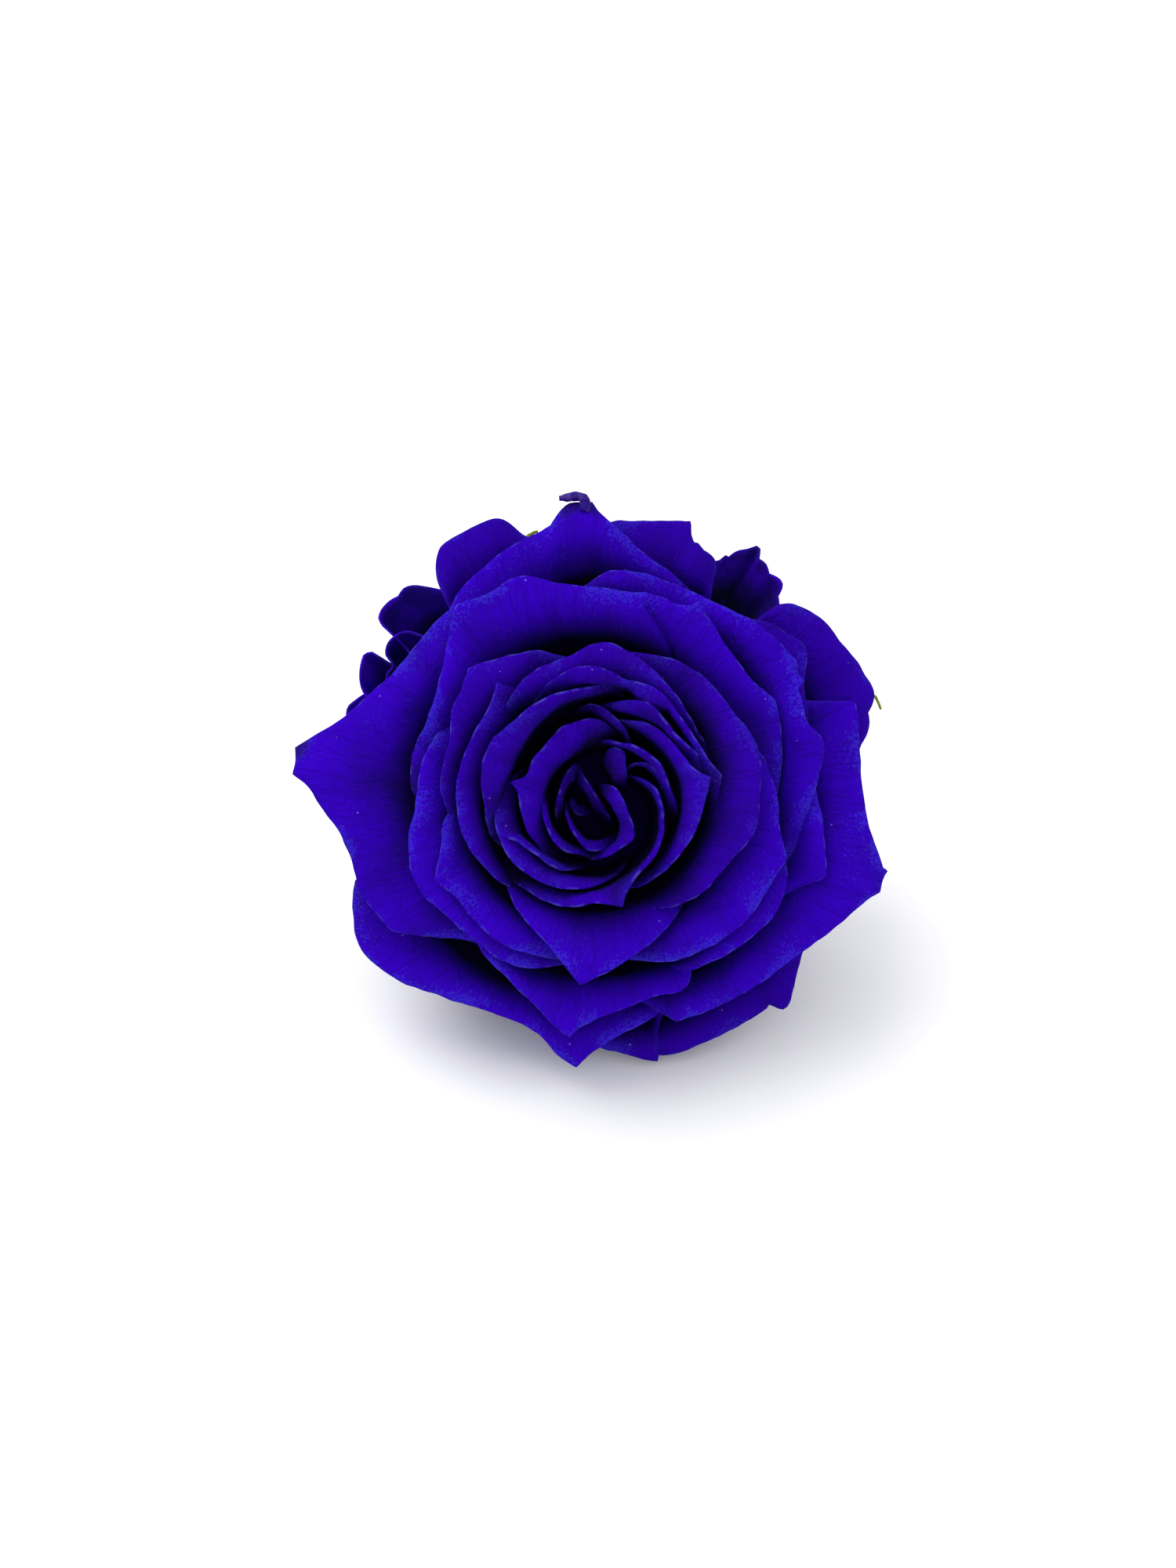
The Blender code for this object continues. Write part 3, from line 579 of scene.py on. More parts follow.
MIDDLE_PETALS = [
    Petal("middle_upper_right", -10, (19, 20.2, 21.8, 22.4, 22.6, 22.6, 22.6), 6, 108, [
        (-11.4, 23.3, TIP), (-2.9, 23.7), (8.7, 25.5), (16.5, 26.7), (22, 25.8), (28, 26.3), (30.2, 26.6),
        (31.1, 27.6, TIP), (33, 27.5), (35.8, 28.1, TIP), (42.6, 27.8), (50.4, 27.3), (59.7, 26.6),
        (79, 26.5), (85.6, 26.3), (91, 24.8)]),
    Petal("middle_right", -12.2, (21.6, 22.6), 7, 106, [
        (-22, 24.4), (-16.4, 27.2, TIP), (-9, 26), (-1.7, 25.4), (6, 24.8)]),
    Petal("middle_bottom", -10.5, (19, 19), 6, 106, [
        (231.5, 20), (243.4, 21), (253.8, 22.7), (260.3, 24.6), (264.5, 25.5, TIP), (267.5, 24.1),
        (277.3, 22.7), (289.2, 22.2), (298.3, 22.3), (300.7, 21.3, TIP), (306, 18)]),
    Petal("middle_top", -7.6, (17.8, 17.6, 17.8, 18.8, 19.4, 18.4, 17, 16.6), 7, 104, [
        (4, 20.7), (11, 21.3), (22, 22.6), (30.4, 23.7, TIP), (38.5, 22.8), (47.1, 23), (53, 23.7),
        (56.4, 24.4), (60.8, 25.3), (62.2, 26, TIP), (63.3, 25.2), (65.8, 24.7), (75, 24.7), (83.2, 24.4),
        (98.4, 25.4), (108.3, 27.1), (116, 26.5), (124, 27.2, TIP), (133.2, 23.7), (145.6, 21.2),
        (171.6, 20.4)],
        pleats=[((60, 18.8), (77.6, 24))]),
    Petal("middle_lower_right", -6.6, (15.8, 15.2, 15.4, 16.2, 17.2), 5, 102, [
        (-74.7, 17.6), (-60.7, 19.4), (-50, 20.2), (-35, 21.2), (-22.3, 21.7), (-14.6, 22.2, TIP),
        (-5.7, 20.9), (1.6, 20.7), (10, 20.2), (17, 19.6)]),
    Petal("middle_low", -9, (19.4, 19.8), 4, 106, [
        (-58.5, 21.1), (-50.4, 21.8), (-37.3, 23), (-27.4, 23.6), (-19.7, 23)]),
    Petal("middle_left", -7.4, (15.8, 15.7, 15.8, 16.2, 16.4), 4.5, 106, [
        (150, 18.7), (159.7, 19.4), (181, 19.7), (190.7, 20.7), (205, 21.3), (214, 20.4), (224, 19.9),
        (243, 19.6), (250.6, 19), (256.7, 18)]),
    Petal("middle_lower_left", -5.8, (14.4, 14.2), 5, 104, [
        (179.5, 15.6), (187, 16.8), (197, 17.6), (205.5, 19.3, TIP), (214, 18.2), (226, 18.1), (237, 18.1),
        (249, 17.6), (257.5, 17.1)]),
    Petal("inner_bottom", -4.4, (11.8, 12), 3.8, 98, [
        (221.4, 12.6), (232.4, 14), (245.2, 15.1), (255.6, 16.6), (266, 19.8, TIP), (272, 18.9),
        (284, 17.3), (297, 16.1), (309.6, 15.2)]),
]
grow(MIDDLE_PETALS, royal_blue_petal)


# Inner petals
# Ten narrower petals that wrap round the heart, with thin rims that turn over only a little. They are drawn a
# shade darker than the middle ones, as painted shade, and their painted shade grows dark sooner below their
# crests.

violet_petal = dyed_petal("violet_blue_dyed_petal", "#2f00a6", "#260088", "#100c1c", 4.4, 0.18)

INNER_PETALS = [
    Petal("inner_right", -3.4, (11.6, 12, 12.6, 13.2, 14.8, 15.6, 15.6), 4.8, 101, [
        (-63.4, 12.4), (-49, 14.5), (-36.5, 15.6), (-24.3, 16.2), (-9.4, 18.1), (7.1, 18.9), (14.9, 19.3),
        (24.5, 19.4), (34.3, 18.9), (46.6, 19.2), (58.4, 19), (68, 18.4), (76.3, 17.8)]),
    Petal("inner_upper_left", -4.8, (15.6, 14.6), 4, 98, [
        (103.7, 17.4), (108.7, 18.3), (120.3, 19.5), (131.8, 20.8, TIP), (137.4, 19.7), (145.5, 18.9),
        (153, 17.7), (163, 17.2), (172, 17), (180.3, 16.2)]),
    Petal("inner_left", -3, (13.6, 11.6), 3.2, 94, [
        (121.6, 16.3), (127.3, 17.5, TIP), (135, 16.1), (146.7, 15.5), (173, 15.3), (184.6, 14.9),
        (197, 14.4), (209.5, 13.6), (222, 12.9)]),
    Petal("inner_top", -2.2, (13.8, 13.4), 4.2, 94, [
        (25.8, 14.4), (39.8, 14.6), (57, 15.9), (67.8, 17), (77.9, 18), (84.4, 18.5), (90.6, 18.1),
        (96.5, 17.2), (116, 16.3), (125.8, 15.3), (137, 13.9)]),
    Petal("ring_top", -0.8, (13.2, 13.1, 13, 13, 13.1, 13.9, 12.6, 14, 13.9, 13.8, 13.6, 13.3, 13), 2.6, 84, [
        (5.9, 14.2), (14.2, 14.9, TIP), (23.7, 14), (38, 13.8), (47.7, 14.2), (54.2, 14.6), (64, 15.05),
        (70, 14.9), (76.5, 14.7), (81, 15.2), (90, 15.7), (95.6, 15.7), (102.6, 15.2), (109.5, 14.7),
        (115, 13.8)]),
    Petal("ring_left", -0.4, (13.2, 12.6, 12.1, 11.3, 10.4, 10, 10.2, 10.6, 10.8), 3.2, 78, [
        (81.6, 13.9), (92.4, 13.3), (107.8, 13.2), (123, 13.1), (132.8, 13.1), (140.3, 13.3),
        (144.2, 13.45), (155, 13.3), (162, 13), (168, 12.7), (179, 12), (187.6, 11.9), (195.5, 11.7)]),
    Petal("ring_flap", -1.9, (12.7, 12, 11.8, 11.9, 11.5, 11.1, 11.1), 2.2, 80, [
        (17, 13.4), (24.5, 13.3), (33, 12.7), (42, 12.4), (51, 12.7), (57.8, 13.1), (62.6, 13.3, TIP),
        (68, 12.9), (74, 12.4), (81, 11.8)]),
    Petal("ring_right", -1.4, (9.3, 9.6, 9.8, 10.2, 10.4, 10.2, 10, 9.6), 2.6, 84, [
        (-61, 10.2), (-48.8, 10.5), (-32.8, 11), (-17.4, 11.6), (4.4, 12.7), (14.4, 13.6, TIP), (18, 12.6),
        (30.3, 11.7), (40.6, 11.5), (50.3, 11.5), (57, 11.3), (65, 10.8), (72, 10.3)]),
    Petal("ring_lower_left", -1.8, (8.8, 8.6, 8.6, 8.5, 8.3, 8.1, 7.9, 7.9, 7.7), 2.6, 78, [
        (158, 9.4), (164, 10), (169, 10), (175.2, 10.5), (181, 10.8), (189, 10.97), (196.7, 10.9),
        (207, 10.8), (221.6, 10.5), (229.8, 10.3), (239.6, 10), (248.9, 9.7), (259, 9.25), (268.9, 8.8),
        (279.6, 8.4), (291, 8)]),
    Petal("ring_fold", -1.7, (9.5, 9.3, 8.6, 7.8, 7.3, 7.1, 6.8), 1.8, 76, [
        (184, 10.3), (191, 10.6), (197, 10.5), (199.6, 10), (202, 9.4), (209.8, 8.6), (220.6, 8.1),
        (232.8, 7.95), (244, 7.8), (252, 7.3)]),
]
grow(INNER_PETALS, violet_petal)


# Heart petals
# The smallest petals, still rolled round each other as they were in the bud. Little light gets
# between them, and only their rims and the faces of two flaps show bright.

# Here the petals are drawn a shade darker, as painted shade deep in the head. Their painted shade grows dark
# sooner below the crest, and there is hardly any painted sheen.
heart_petal = dyed_petal("deep_violet_dyed_petal", "#3000a8", "#26008a", "#0c0818", 2.8, 0.1)

HEART_PETALS = [
    Petal("heart_left", -2, (8.3, 7.2, 6.2, 5.8, 5.6, 5.6, 5.8, 5.9, 6.4), 3, 78, [
        (74, 9), (84.9, 9.8), (90, 9.96), (97, 9.8), (105.7, 9.7), (111.9, 9.6), (118.5, 9.15),
        (128.5, 8.7), (137.9, 8.6), (144.3, 8.4), (151.8, 8.15), (156.6, 8.4), (162.8, 9.5, TIP),
        (165.5, 8.75), (171.5, 8.3), (181.3, 7.95), (193, 7.7), (204.5, 7.6), (214.4, 7.4), (224, 7.5),
        (232.8, 7.7), (240, 7.6), (246, 7.1)]),
    Petal("heart_ribbon", -1.4, (10.4, 10.3, 10.1, 9.4, 8.9, 8.5, 8.3, 7.95, 7, 5.6, 4.9), 2.4, 76, [
        (-140, 11.9), (-129, 11.7), (-119, 11.6), (-109.5, 11.5), (-99, 11.1), (-91, 10.6), (-80.8, 10.9),
        (-73.2, 11.6, TIP), (-69.8, 10.6), (-66, 9.95), (-59, 9.2), (-49.8, 8.9), (-39.4, 8.8), (-29, 8.6),
        (-18, 8.4), (-8.7, 8.1), (0, 7.95), (6.4, 7.8), (13, 7.7), (19.3, 7.4), (27.9, 6.7), (35.5, 6),
        (43.7, 5.3)]),
    Petal("heart_upper_right", -3, (9, 8.5, 8.3, 8.1, 7.8, 7.4, 7.4), 1.8, 76, [
        (-3, 9.6), (5.4, 9.3), (14.6, 9), (24, 9), (33, 8.96), (41.7, 8.66), (51.7, 8.45), (58, 8.25, TIP),
        (64, 7.9), (70, 7.8), (78, 7.8)]),
    Petal("heart_tongue", -2.4, (5, 5.1, 4.8, 3.7, 2.5, 2, 1.95, 2.3), 2, 76, [
        (-101, 5.4), (-88.3, 5.85, TIP), (-68.5, 5.7), (-57.8, 5.6), (-47.5, 5.7), (-37, 5.8), (-28.9, 5.4),
        (-21, 4.9), (-11.8, 4.3), (2.6, 3.85), (20.2, 3.55), (40.9, 3.45), (55.4, 3.1), (68, 2.7)]),
    Petal("heart_loop", -2.8, (5.2, 5, 5, 4.9, 4.8, 4.8), 1.8, 76, [
        (166, 5.8), (178, 5.6), (191, 5.5), (204.3, 5.5), (218.7, 5.6), (234.4, 5.7), (247.5, 5.5),
        (258.6, 5.3), (269, 5.5)]),
    Petal("bud", -3.4, (2.8, 2.75, 2.8, 3.2, 3.8, 3.9, 3.7), 1.4, 74, [
        (172, 3.1), (183, 3.05), (208, 3.05), (237, 3.6), (255, 4.25), (263, 4.7), (275, 4.9), (290, 4.9),
        (304, 4.8)]),
]
grow(HEART_PETALS, heart_petal)

# The petals that lie lowest are drawn a dull dark violet, as painted shade for how deep they lie. Three of
# them stand between the others: a band that slants in from the top, a thin one, and a flap beside the eye.
bud_petal = dyed_petal("dark_violet_dyed_petal", "#280088", "#1e006c", "#0a0616", 2.4, 0.08)

LOW_PETALS = [
    Petal("heart_slant", -4.4, (8.5, 8.6, 9.1, 10, 10.9, 11.3), 1.4, 74, [
        (60, 8.6), (62.2, 8.9), (67.5, 9.7), (76.8, 10.55), (82, 11.1), (85.6, 11.4), (92, 11.6)]),
    Petal("heart_thin", -3.6, (8.5, 8.3, 8.1, 7.6, 6.4, 5.7), 1.4, 74, [
        (5, 8.9), (11.5, 8.7), (22.9, 8.5), (33.7, 8.2), (40.5, 7.8), (45.5, 7), (48.5, 6.1)]),
    Petal("heart_flap", -4.5, (3.8, 3.7, 3.7, 4.2, 4.9, 5.2), 1.6, 76, [
        (27, 4, FREE), (37.3, 4.6), (45, 5.4), (54.4, 6.4), (59, 7.1), (65.6, 7.2), (72, 6.8), (76, 5.9),
        (77.6, 5.3, FREE)]),
]
grow(LOW_PETALS, bud_petal)

# The innermost petals are curled round an axis of their own, a little to the left and up. Two
# meet in a point, one of them runs down across the eye, and a last one is rolled up inside them.
BUD_AXIS = (-1.7, 1.2)
BUD_PETALS = [
    Petal("bud_left", -3.6, (2.4, 1.9, 1.6, 1.4, 1.6, 2, 2.6), 1.4, 72, [
        (84, 3.5), (93.4, 3.7, TIP), (108, 2.97), (129, 2.3), (163.7, 1.96), (204.8, 2.45), (221.7, 3.1),
        (236, 3.7)]),
    Petal("bud_right", -5.6, (4, 2.2, 1.4, 1.1, 1.3, 2.2), 1.4, 72, [
        (-40, 5.6), (-27, 3.8), (-5, 2.5), (33, 2), (60, 2.2), (80, 2.85), (92, 3.8)], lean=1.4),
    Petal("bud_middle", -7.4, (0.4, 0.5, 0.9, 1.4), 1.4, 72, [
        (180, 0.8), (215, 1), (250, 1.5), (283, 2.3, TIP), (320, 2.2)]),
]
grow(BUD_PETALS, bud_petal, BUD_AXIS)


# Rear petals
# The nine outermost petals, which lie back against the sepals, so their backs are the outside of the head.
# They are of the same dyed tissue, drawn a shade darker as painted shade, and hold on only by their roots.

rear_petal = dyed_petal("rear_dyed_petal", "#2d00a0", "#220084", "#140440", 3.2, 0.22)

REAR_PETALS = [
    Petal("rear_upper_left", -21.5, (26.6, 26.2), 6, 115, [
        (98, 29.3), (104, 31.3), (107.6, 33.6), (111.6, 34), (117.4, 33.9), (120.3, 33.5), (122.4, 32.3),
        (124.4, 30), (125, 28.4), (125.8, 26.4)]),
    Petal("rear_top", -19.5, (25.6, 25.6), 6, 115, [
        (59.6, 25.6), (61.4, 28), (63, 30.5), (64.5, 31), (66.4, 31.3), (68.3, 31.8), (69.1, 31.7, TIP),
        (70.4, 32.7), (71.1, 33.95, TIP), (75, 33.2), (81.3, 32.2), (85.8, 31.9), (92, 30.8), (100, 28.6)]),
    Petal("rear_right", -21, (26.4, 26.6), 6, 120, [
        (2, 28.4), (13.2, 30.6), (14.9, 31.5), (17, 32.2), (18.9, 32.4, TIP), (20.3, 33.3), (21.9, 33.9),
        (25.1, 33.9), (29.5, 33.7), (33.9, 33.2), (37.6, 33.2), (41, 32.9), (44.6, 32.2), (46.4, 31.4),
        (47.5, 30.4), (48.2, 28.4), (49.2, 26)]),
    Petal("behind_upper_right", -12.5, (24.6, 24.6), 3, 120, [
        (25, 26.4), (30, 27.2), (32.3, 28.1), (35.2, 29.3), (37.8, 29.7), (41.8, 29), (45.9, 28.4),
        (52, 26.8)]),
    Petal("rear_lower_right", -20, (25.4, 25.4), 6, 115, [
        (-52, 27), (-48.4, 29), (-47.5, 30, TIP), (-46.8, 30.8), (-45.1, 30.95), (-42.4, 30.2),
        (-38.4, 29.1), (-34.4, 28.3), (-27, 28), (-18, 29), (-6, 28.4)]),
    Petal("rear_bottom", -21.5, (24.6, 24.4), 6, 112, [
        (-80, 26.4), (-74, 28.6), (-68.9, 28.8), (-61, 28.8), (-54.3, 29.2), (-50.6, 29.4), (-47.8, 29.3),
        (-45, 27.4)]),
    Petal("rear_bottom_fold", -20.7, (24.4, 24.4), 5, 112, [
        (-94, 25.4), (-86.7, 26.9), (-82.5, 27.5), (-78.4, 28.4), (-75.4, 29, TIP), (-74.4, 27.6),
        (-73, 25.4)]),
    Petal("rear_lower_left", -22.5, (24.6, 24.6), 6, 115, [
        (202, 26.4), (213, 27.6), (225, 26.6), (235, 25.4), (247, 24.6), (258, 25), (266, 24.6)]),
    Petal("rear_left", -20.5, (25.4, 25.4), 6, 115, [
        (138, 25), (150, 26.4), (162, 28.4), (172, 29.4), (182, 27.4), (192, 26.5), (203, 25.6)]),
]
grow(REAR_PETALS, rear_petal)


# Calyx
# The round hip under the petals and its five leafy sepals, whose ragged ends show past the petals. They were
# green and took the blue dye, but for a few dry tips, and they are drawn nearly black further in from their
# edges.

# A blade runs from its root by its middle to its tip, each a direction, a distance from the axis
# as it looks and a depth. It narrows over the last POINT of its length.
Blade = namedtuple("Blade", "name root middle tip width point")
SEPALS = [
    Blade("sepal_right", (6, 4.2, -44.2), (10, 20, -42.5), (21, 32.6, -26.5), 6.5, 12),
    Blade("sepal_upper_right", (70, 4.2, -44.2), (60, 20.5, -43), (57, 27.5, -34.6), 5.6, 7),
    Blade("sepal_upper_left", (140, 4.2, -44.2), (136, 20, -43.5), (134, 26.6, -35.4), 4.8, 6),
    Blade("left_lobe", (138, 14.8, -42.1), (147, 22, -39.5), (149, 25.6, -35.8), 3.4, 4),
    Blade("top_lobe", (136, 17.4, -41.4), (120, 25.4, -37.6), (104.5, 30.1, -27.4), 1.7, 8),
    Blade("sepal_lower_left", (214, 4.2, -44.2), (206, 18, -43.5), (197, 26, -36), 7, 10),
    Blade("sepal_lower_right", (286, 4.2, -44.2), (312, 15, -43), (326, 25, -35), 7, 10),
]

# Their ends spread into flat ragged leaves, which carry on the curve of the blades: from a neck
# on the blade, at the direction given first, to a rim that is given as a petal's is.
Leaf = namedtuple("Leaf", "name neck depth rim")
LEAVES = [
    Leaf("upper_right_leaf", 58, -28, [
        (46, 30.2), (48.7, 31.4, TIP), (49.1, 32.3), (50.2, 32.9), (51.8, 32.85), (52.8, 32.7, TIP),
        (54.4, 33.35), (56.1, 33.4, TIP), (57, 34.4, TIP), (57.8, 34.45, TIP), (58.6, 33.8), (60.8, 32.5),
        (61.3, 31.8, TIP), (62, 31.8, TIP), (62.6, 31, TIP), (65, 30)]),
    Leaf("upper_left_leaf", 134, -30.2, [
        (123.4, 28.4), (124.8, 29.5), (126, 30.2), (127.4, 31), (128.8, 31.75), (130.7, 32.2),
        (132.5, 31.95, TIP), (134.1, 32.2), (135.9, 32.25), (137.6, 32.05), (138.6, 31.6), (139, 30.9, TIP),
        (139.1, 29.4), (139.4, 27.4)]),
    Leaf("left_small_leaf", 138, -29.4, [
        (134.5, 26.8), (136, 28.2), (138, 29), (139.3, 29.15), (141, 29.2), (142.6, 28.9), (143.4, 28.6),
        (143.8, 28.1, TIP), (144.1, 27.5), (146.5, 27.3)]),
    Leaf("left_leaf", 144, -30.8, [
        (144.3, 26), (144.6, 28.4), (144.8, 30, TIP), (145.9, 30.55), (147.6, 30.4), (149.7, 29.95),
        (151.7, 29.3), (153.2, 28.5), (154.5, 27.2)]),
    Leaf("left_low_leaf", 146, -32.2, [
        (151.4, 27.2), (153.5, 28.3), (155.7, 28.95), (157.3, 29.35), (159.4, 29.2), (161, 28.4)]),
]


# Leaf that has taken up the dye: matt, violet with darker patches at its ends and nearly black
# further in, with a fine net of veins and a dry yellow-green edge here and there.
sepal_leaf, shader = new_material("blue_dyed_sepal")
place = add_node(sepal_leaf, "TexCoord", {}, "Object")
to_edge = add_node(sepal_leaf, "Attribute", {}, "Fac", attribute_name="to_edge")
patches = add_node(sepal_leaf, "TexNoise", {"Vector": place, "Scale": 1 / (4 * MM), "Detail": 5})
patchy = add_node(sepal_leaf, "MapRange", [patches, 0.38, 0.6])
ends = add_node(sepal_leaf, "Mix", {0: patchy, 6: "#3c00c0", 7: "#240c80"}, 2, data_type="RGBA")
far_in = add_node(sepal_leaf, "MapRange", [to_edge, 1.8, 5.5])
dye = add_node(sepal_leaf, "Mix", {0: far_in, 6: ends, 7: "#100c30"}, 2, data_type="RGBA")
net_inputs = {"Vector": place, "Scale": 1 / (1.2 * MM)}
net = add_node(sepal_leaf, "TexVoronoi", net_inputs, feature="DISTANCE_TO_EDGE")
net_line = add_node(sepal_leaf, "MapRange", [net, 0, 0.1, 0.3, 0])
veined = add_node(sepal_leaf, "Mix", {0: net_line, 6: dye, 7: "#0c0430"}, 2, data_type="RGBA")
at_edge = add_node(sepal_leaf, "MapRange", [to_edge, 0.08, 0.3, 0.7, 0])
spots = add_node(sepal_leaf, "TexNoise", {"Vector": place, "Scale": 1 / (2.5 * MM), "Detail": 2})
dry_spot = add_node(sepal_leaf, "MapRange", [spots, 0.7, 0.74])
dry_share = add_node(sepal_leaf, "Math", [at_edge, dry_spot], operation="MULTIPLY")
edged = add_node(sepal_leaf, "Mix", {0: dry_share, 6: veined, 7: "#666a2c"}, 2, data_type="RGBA")
skin = add_node(sepal_leaf, "TexNoise", {"Vector": place, "Scale": 1 / (0.5 * MM), "Detail": 3})
bump = add_node(sepal_leaf, "Bump", {"Strength": 0.5, "Distance": 0.2 * MM, "Height": skin})
feed(shader, {"Base Color": edged, "Normal": bump, "Roughness": 0.75, "Specular IOR Level": 0.04})

# Skin of the hip: thick, smooth and waxy, dyed from inside, so green still shows under the blue.
hip_skin, shader = new_material("waxy_dyed_hip_skin")
place = add_node(hip_skin, "TexCoord", {}, "Object")
mottle = add_node(hip_skin, "TexNoise", {"Vector": place, "Scale": 1 / (2.2 * MM), "Detail": 5})
under_dye = add_node(hip_skin, "MapRange", [mottle, 0.4, 0.64])
tint = add_node(hip_skin, "Mix", {0: under_dye, 6: "#180c58", 7: "#10242c"}, 2, data_type="RGBA")
pores = add_node(hip_skin, "TexNoise", {"Vector": place, "Scale": 1 / (0.4 * MM), "Detail": 3})
bump = add_node(hip_skin, "Bump", {"Strength": 0.5, "Distance": 0.12 * MM, "Height": pores})
feed(shader, {"Base Color": tint, "Normal": bump, "Roughness": 0.5, "Specular IOR Level": 0.25})


def place_at(direction, radius, depth):
    """A point of the calyx from its direction, its distance as it looks, and its depth."""
    turn = math.radians(direction)
    true_radius = widened(radius, depth)
    return Vector((true_radius * math.cos(turn), true_radius * math.sin(turn), depth))


BLADE_ROWS = 26
BLADE_COLUMNS = 8
CUP_DEPTH = 0.6
BLADE_NECK = 0.35
BLADE_WIDENING = 0.5
BLADE_ROUNDNESS = 1.8
BLADE_END = 0.3
RAGGEDNESS = 0.14
RAGS_ACROSS = 3
RAGS_ALONG = 9


def blade_mesh(blade):
    """The narrow blade of a sepal, cupped towards the petals, from the hip to its tip."""
    root, middle, tip = place_at(*blade.root), place_at(*blade.middle), place_at(*blade.tip)
    narrowing = blade.point / ((middle - root).length + (tip - middle).length)
    sheet = flat_sheet(BLADE_COLUMNS, BLADE_ROWS)
    to_edge = sheet.verts.layers.float.new("to_edge")
    for vert in sheet.verts:
        side = vert.co.x
        along = math.sin(math.pi / 4 * (vert.co.y + 1))
        line = curve(root, middle, tip, along)
        heading = (1 - along) * (middle - root) + along * (tip - middle)
        across = heading.cross(Vector((0, 0, 1))).normalized()
        widening = BLADE_NECK + (1 - BLADE_NECK) * along / BLADE_WIDENING
        narrowed = max(0, 1 - (1 - along) / narrowing)
        taper = min(1, widening, 1 - narrowed ** BLADE_ROUNDNESS)
        half_width = (BLADE_END + (blade.width - BLADE_END) * taper) / 2
        rag = noise.noise(Vector((side * RAGS_ACROSS, along * RAGS_ALONG, blade.tip[0])))
        cup = CUP_DEPTH * abs(side) ** 2 * taper
        vert.co = line - side * half_width * (1 + RAGGEDNESS * rag) * across + Vector((0, 0, cup))
        vert[to_edge] = half_width * (1 - abs(side))
    return sheet


# Distance from the axis and depth of a leaf's neck, and of the bend before its end.
LEAF_NECK = (19.8, -39.8)
LEAF_BEND = (27, -36)
LEAF_ROWS = 20
LEAF_WAVE = 1.6
LEAF_WAVE_LENGTH = 3
LEAF_WAVES_ALONG = 2
NECK_SHARE = 0.12
SPREAD_AFTER = 0.62


def leaf_mesh(leaf):
    """The leafy end of a sepal, which widens from its neck and is ragged at its rim."""
    line = smooth_rim(leaf.rim)
    columns = len(line) - 1
    sheet = flat_sheet(columns, LEAF_ROWS)
    to_edge = sheet.verts.layers.float.new("to_edge")
    for vert in sheet.verts:
        column = round((vert.co.x + 1) / 2 * columns)
        direction, reach, run = line[column]
        t = (vert.co.y + 1) / 2
        spread = min(1, t / SPREAD_AFTER)
        spread = NECK_SHARE + (1 - NECK_SHARE) * spread ** 2 * (3 - 2 * spread)
        direction = leaf.neck + spread * (direction - leaf.neck)
        radius = curve(LEAF_NECK[0], LEAF_BEND[0], reach, t)
        depth = curve(LEAF_NECK[1], LEAF_BEND[1], leaf.depth, t)
        wave = noise.noise(Vector((run / LEAF_WAVE_LENGTH, t * LEAF_WAVES_ALONG, leaf.depth)))
        vert.co = place_at(direction, radius, depth + LEAF_WAVE * t * wave)
        beside = min(column, columns - column) * COLUMN_STEP
        vert[to_edge] = min(reach - radius, beside)
    return sheet


MERGED_WITHIN = 0.001


def turned_body(profile, sides):
    """A closed body that a profile of distances from the axis and depths is turned into."""
    body = bmesh.new()
    ring = [body.verts.new((radius, 0, depth)) for radius, depth in profile]
    edges = [body.edges.new(pair) for pair in zip(ring, ring[1:])]
    bmesh.ops.spin(body, geom=ring + edges, cent=(0, 0, 0), axis=(0, 0, 1), angle=2 * math.pi,
                   steps=sides, use_merge=True)
    bmesh.ops.remove_doubles(body, verts=body.verts[:], dist=MERGED_WITHIN)
    bmesh.ops.recalc_face_normals(body, faces=body.faces[:])
    return body


HIP_PROFILE = [(0, -42), (3.6, -42.1), (5.4, -43.2), (6, -45), (5.4, -47.2), (3.9, -49),
               (3.1, -50.2), (0, -50.2)]
HIP_SIDES = 40
HIP_RIBS = 5
RIB_HEIGHT = 0.022
HIP_DENT = 0.05
HIP_DENT_LENGTH = 2.5
hip = turned_body(HIP_PROFILE, HIP_SIDES)
for vert in hip.verts:
    turn = math.atan2(vert.co.y, vert.co.x)
    swelling = 1 + RIB_HEIGHT * math.cos(HIP_RIBS * turn)
    swelling += HIP_DENT * noise.noise(vert.co / HIP_DENT_LENGTH)
    vert.co.x *= swelling
    vert.co.y *= swelling
rounded_hip = piece_of("hip", hip, hip_skin, "calyx").modifiers.new("rounding", "SUBSURF")
rounded_hip.levels = 2
rounded_hip.render_levels = 2

BLADE_THICKNESS = 0.45
LEAF_THICKNESS = 0.25
for blade in SEPALS:
    piece_of(blade.name, blade_mesh(blade), sepal_leaf, "calyx", BLADE_THICKNESS)
for leaf in LEAVES:
    piece_of(leaf.name, leaf_mesh(leaf), sepal_leaf, "calyx", LEAF_THICKNESS)

# The tips that dried before the dye reached them are still yellow-green, and thin as hairs.
dry_tip, shader = new_material("dry_green_sepal_tip")
place = add_node(dry_tip, "TexCoord", {}, "Object")
streaks = add_node(dry_tip, "TexNoise", {"Vector": place, "Scale": 1 / (0.6 * MM), "Detail": 3})
tint = add_node(dry_tip, "Mix", {0: streaks, 6: "#9aa03c", 7: "#5c6424"}, 2, data_type="RGBA")
feed(shader, {"Base Color": tint, "Roughness": 0.7, "Specular IOR Level": 0.2})

make_strand(Strand("right_dry_tip", -26.4, 0.2, 150, [
    (29.7, 11.2), (30.3, 12), (31, 12.5), (31.6, 12.3), (31.95, 11.6), (32.2, 10.9)]),
    dry_tip, "calyx")
make_strand(Strand("top_dry_tip", -27.3, 0.24, 150, [
    (-7.7, 28.6), (-7.5, 29.6), (-7.1, 30.3), (-6.5, 30.7), (-6, 30.8)]),
    dry_tip, "calyx")


# Cut stem
# A short stub of the woody stem, cut straight across. It grows out of the hip, and its end is
# what the head leans back on.

STEM_RADIUS = 2.6

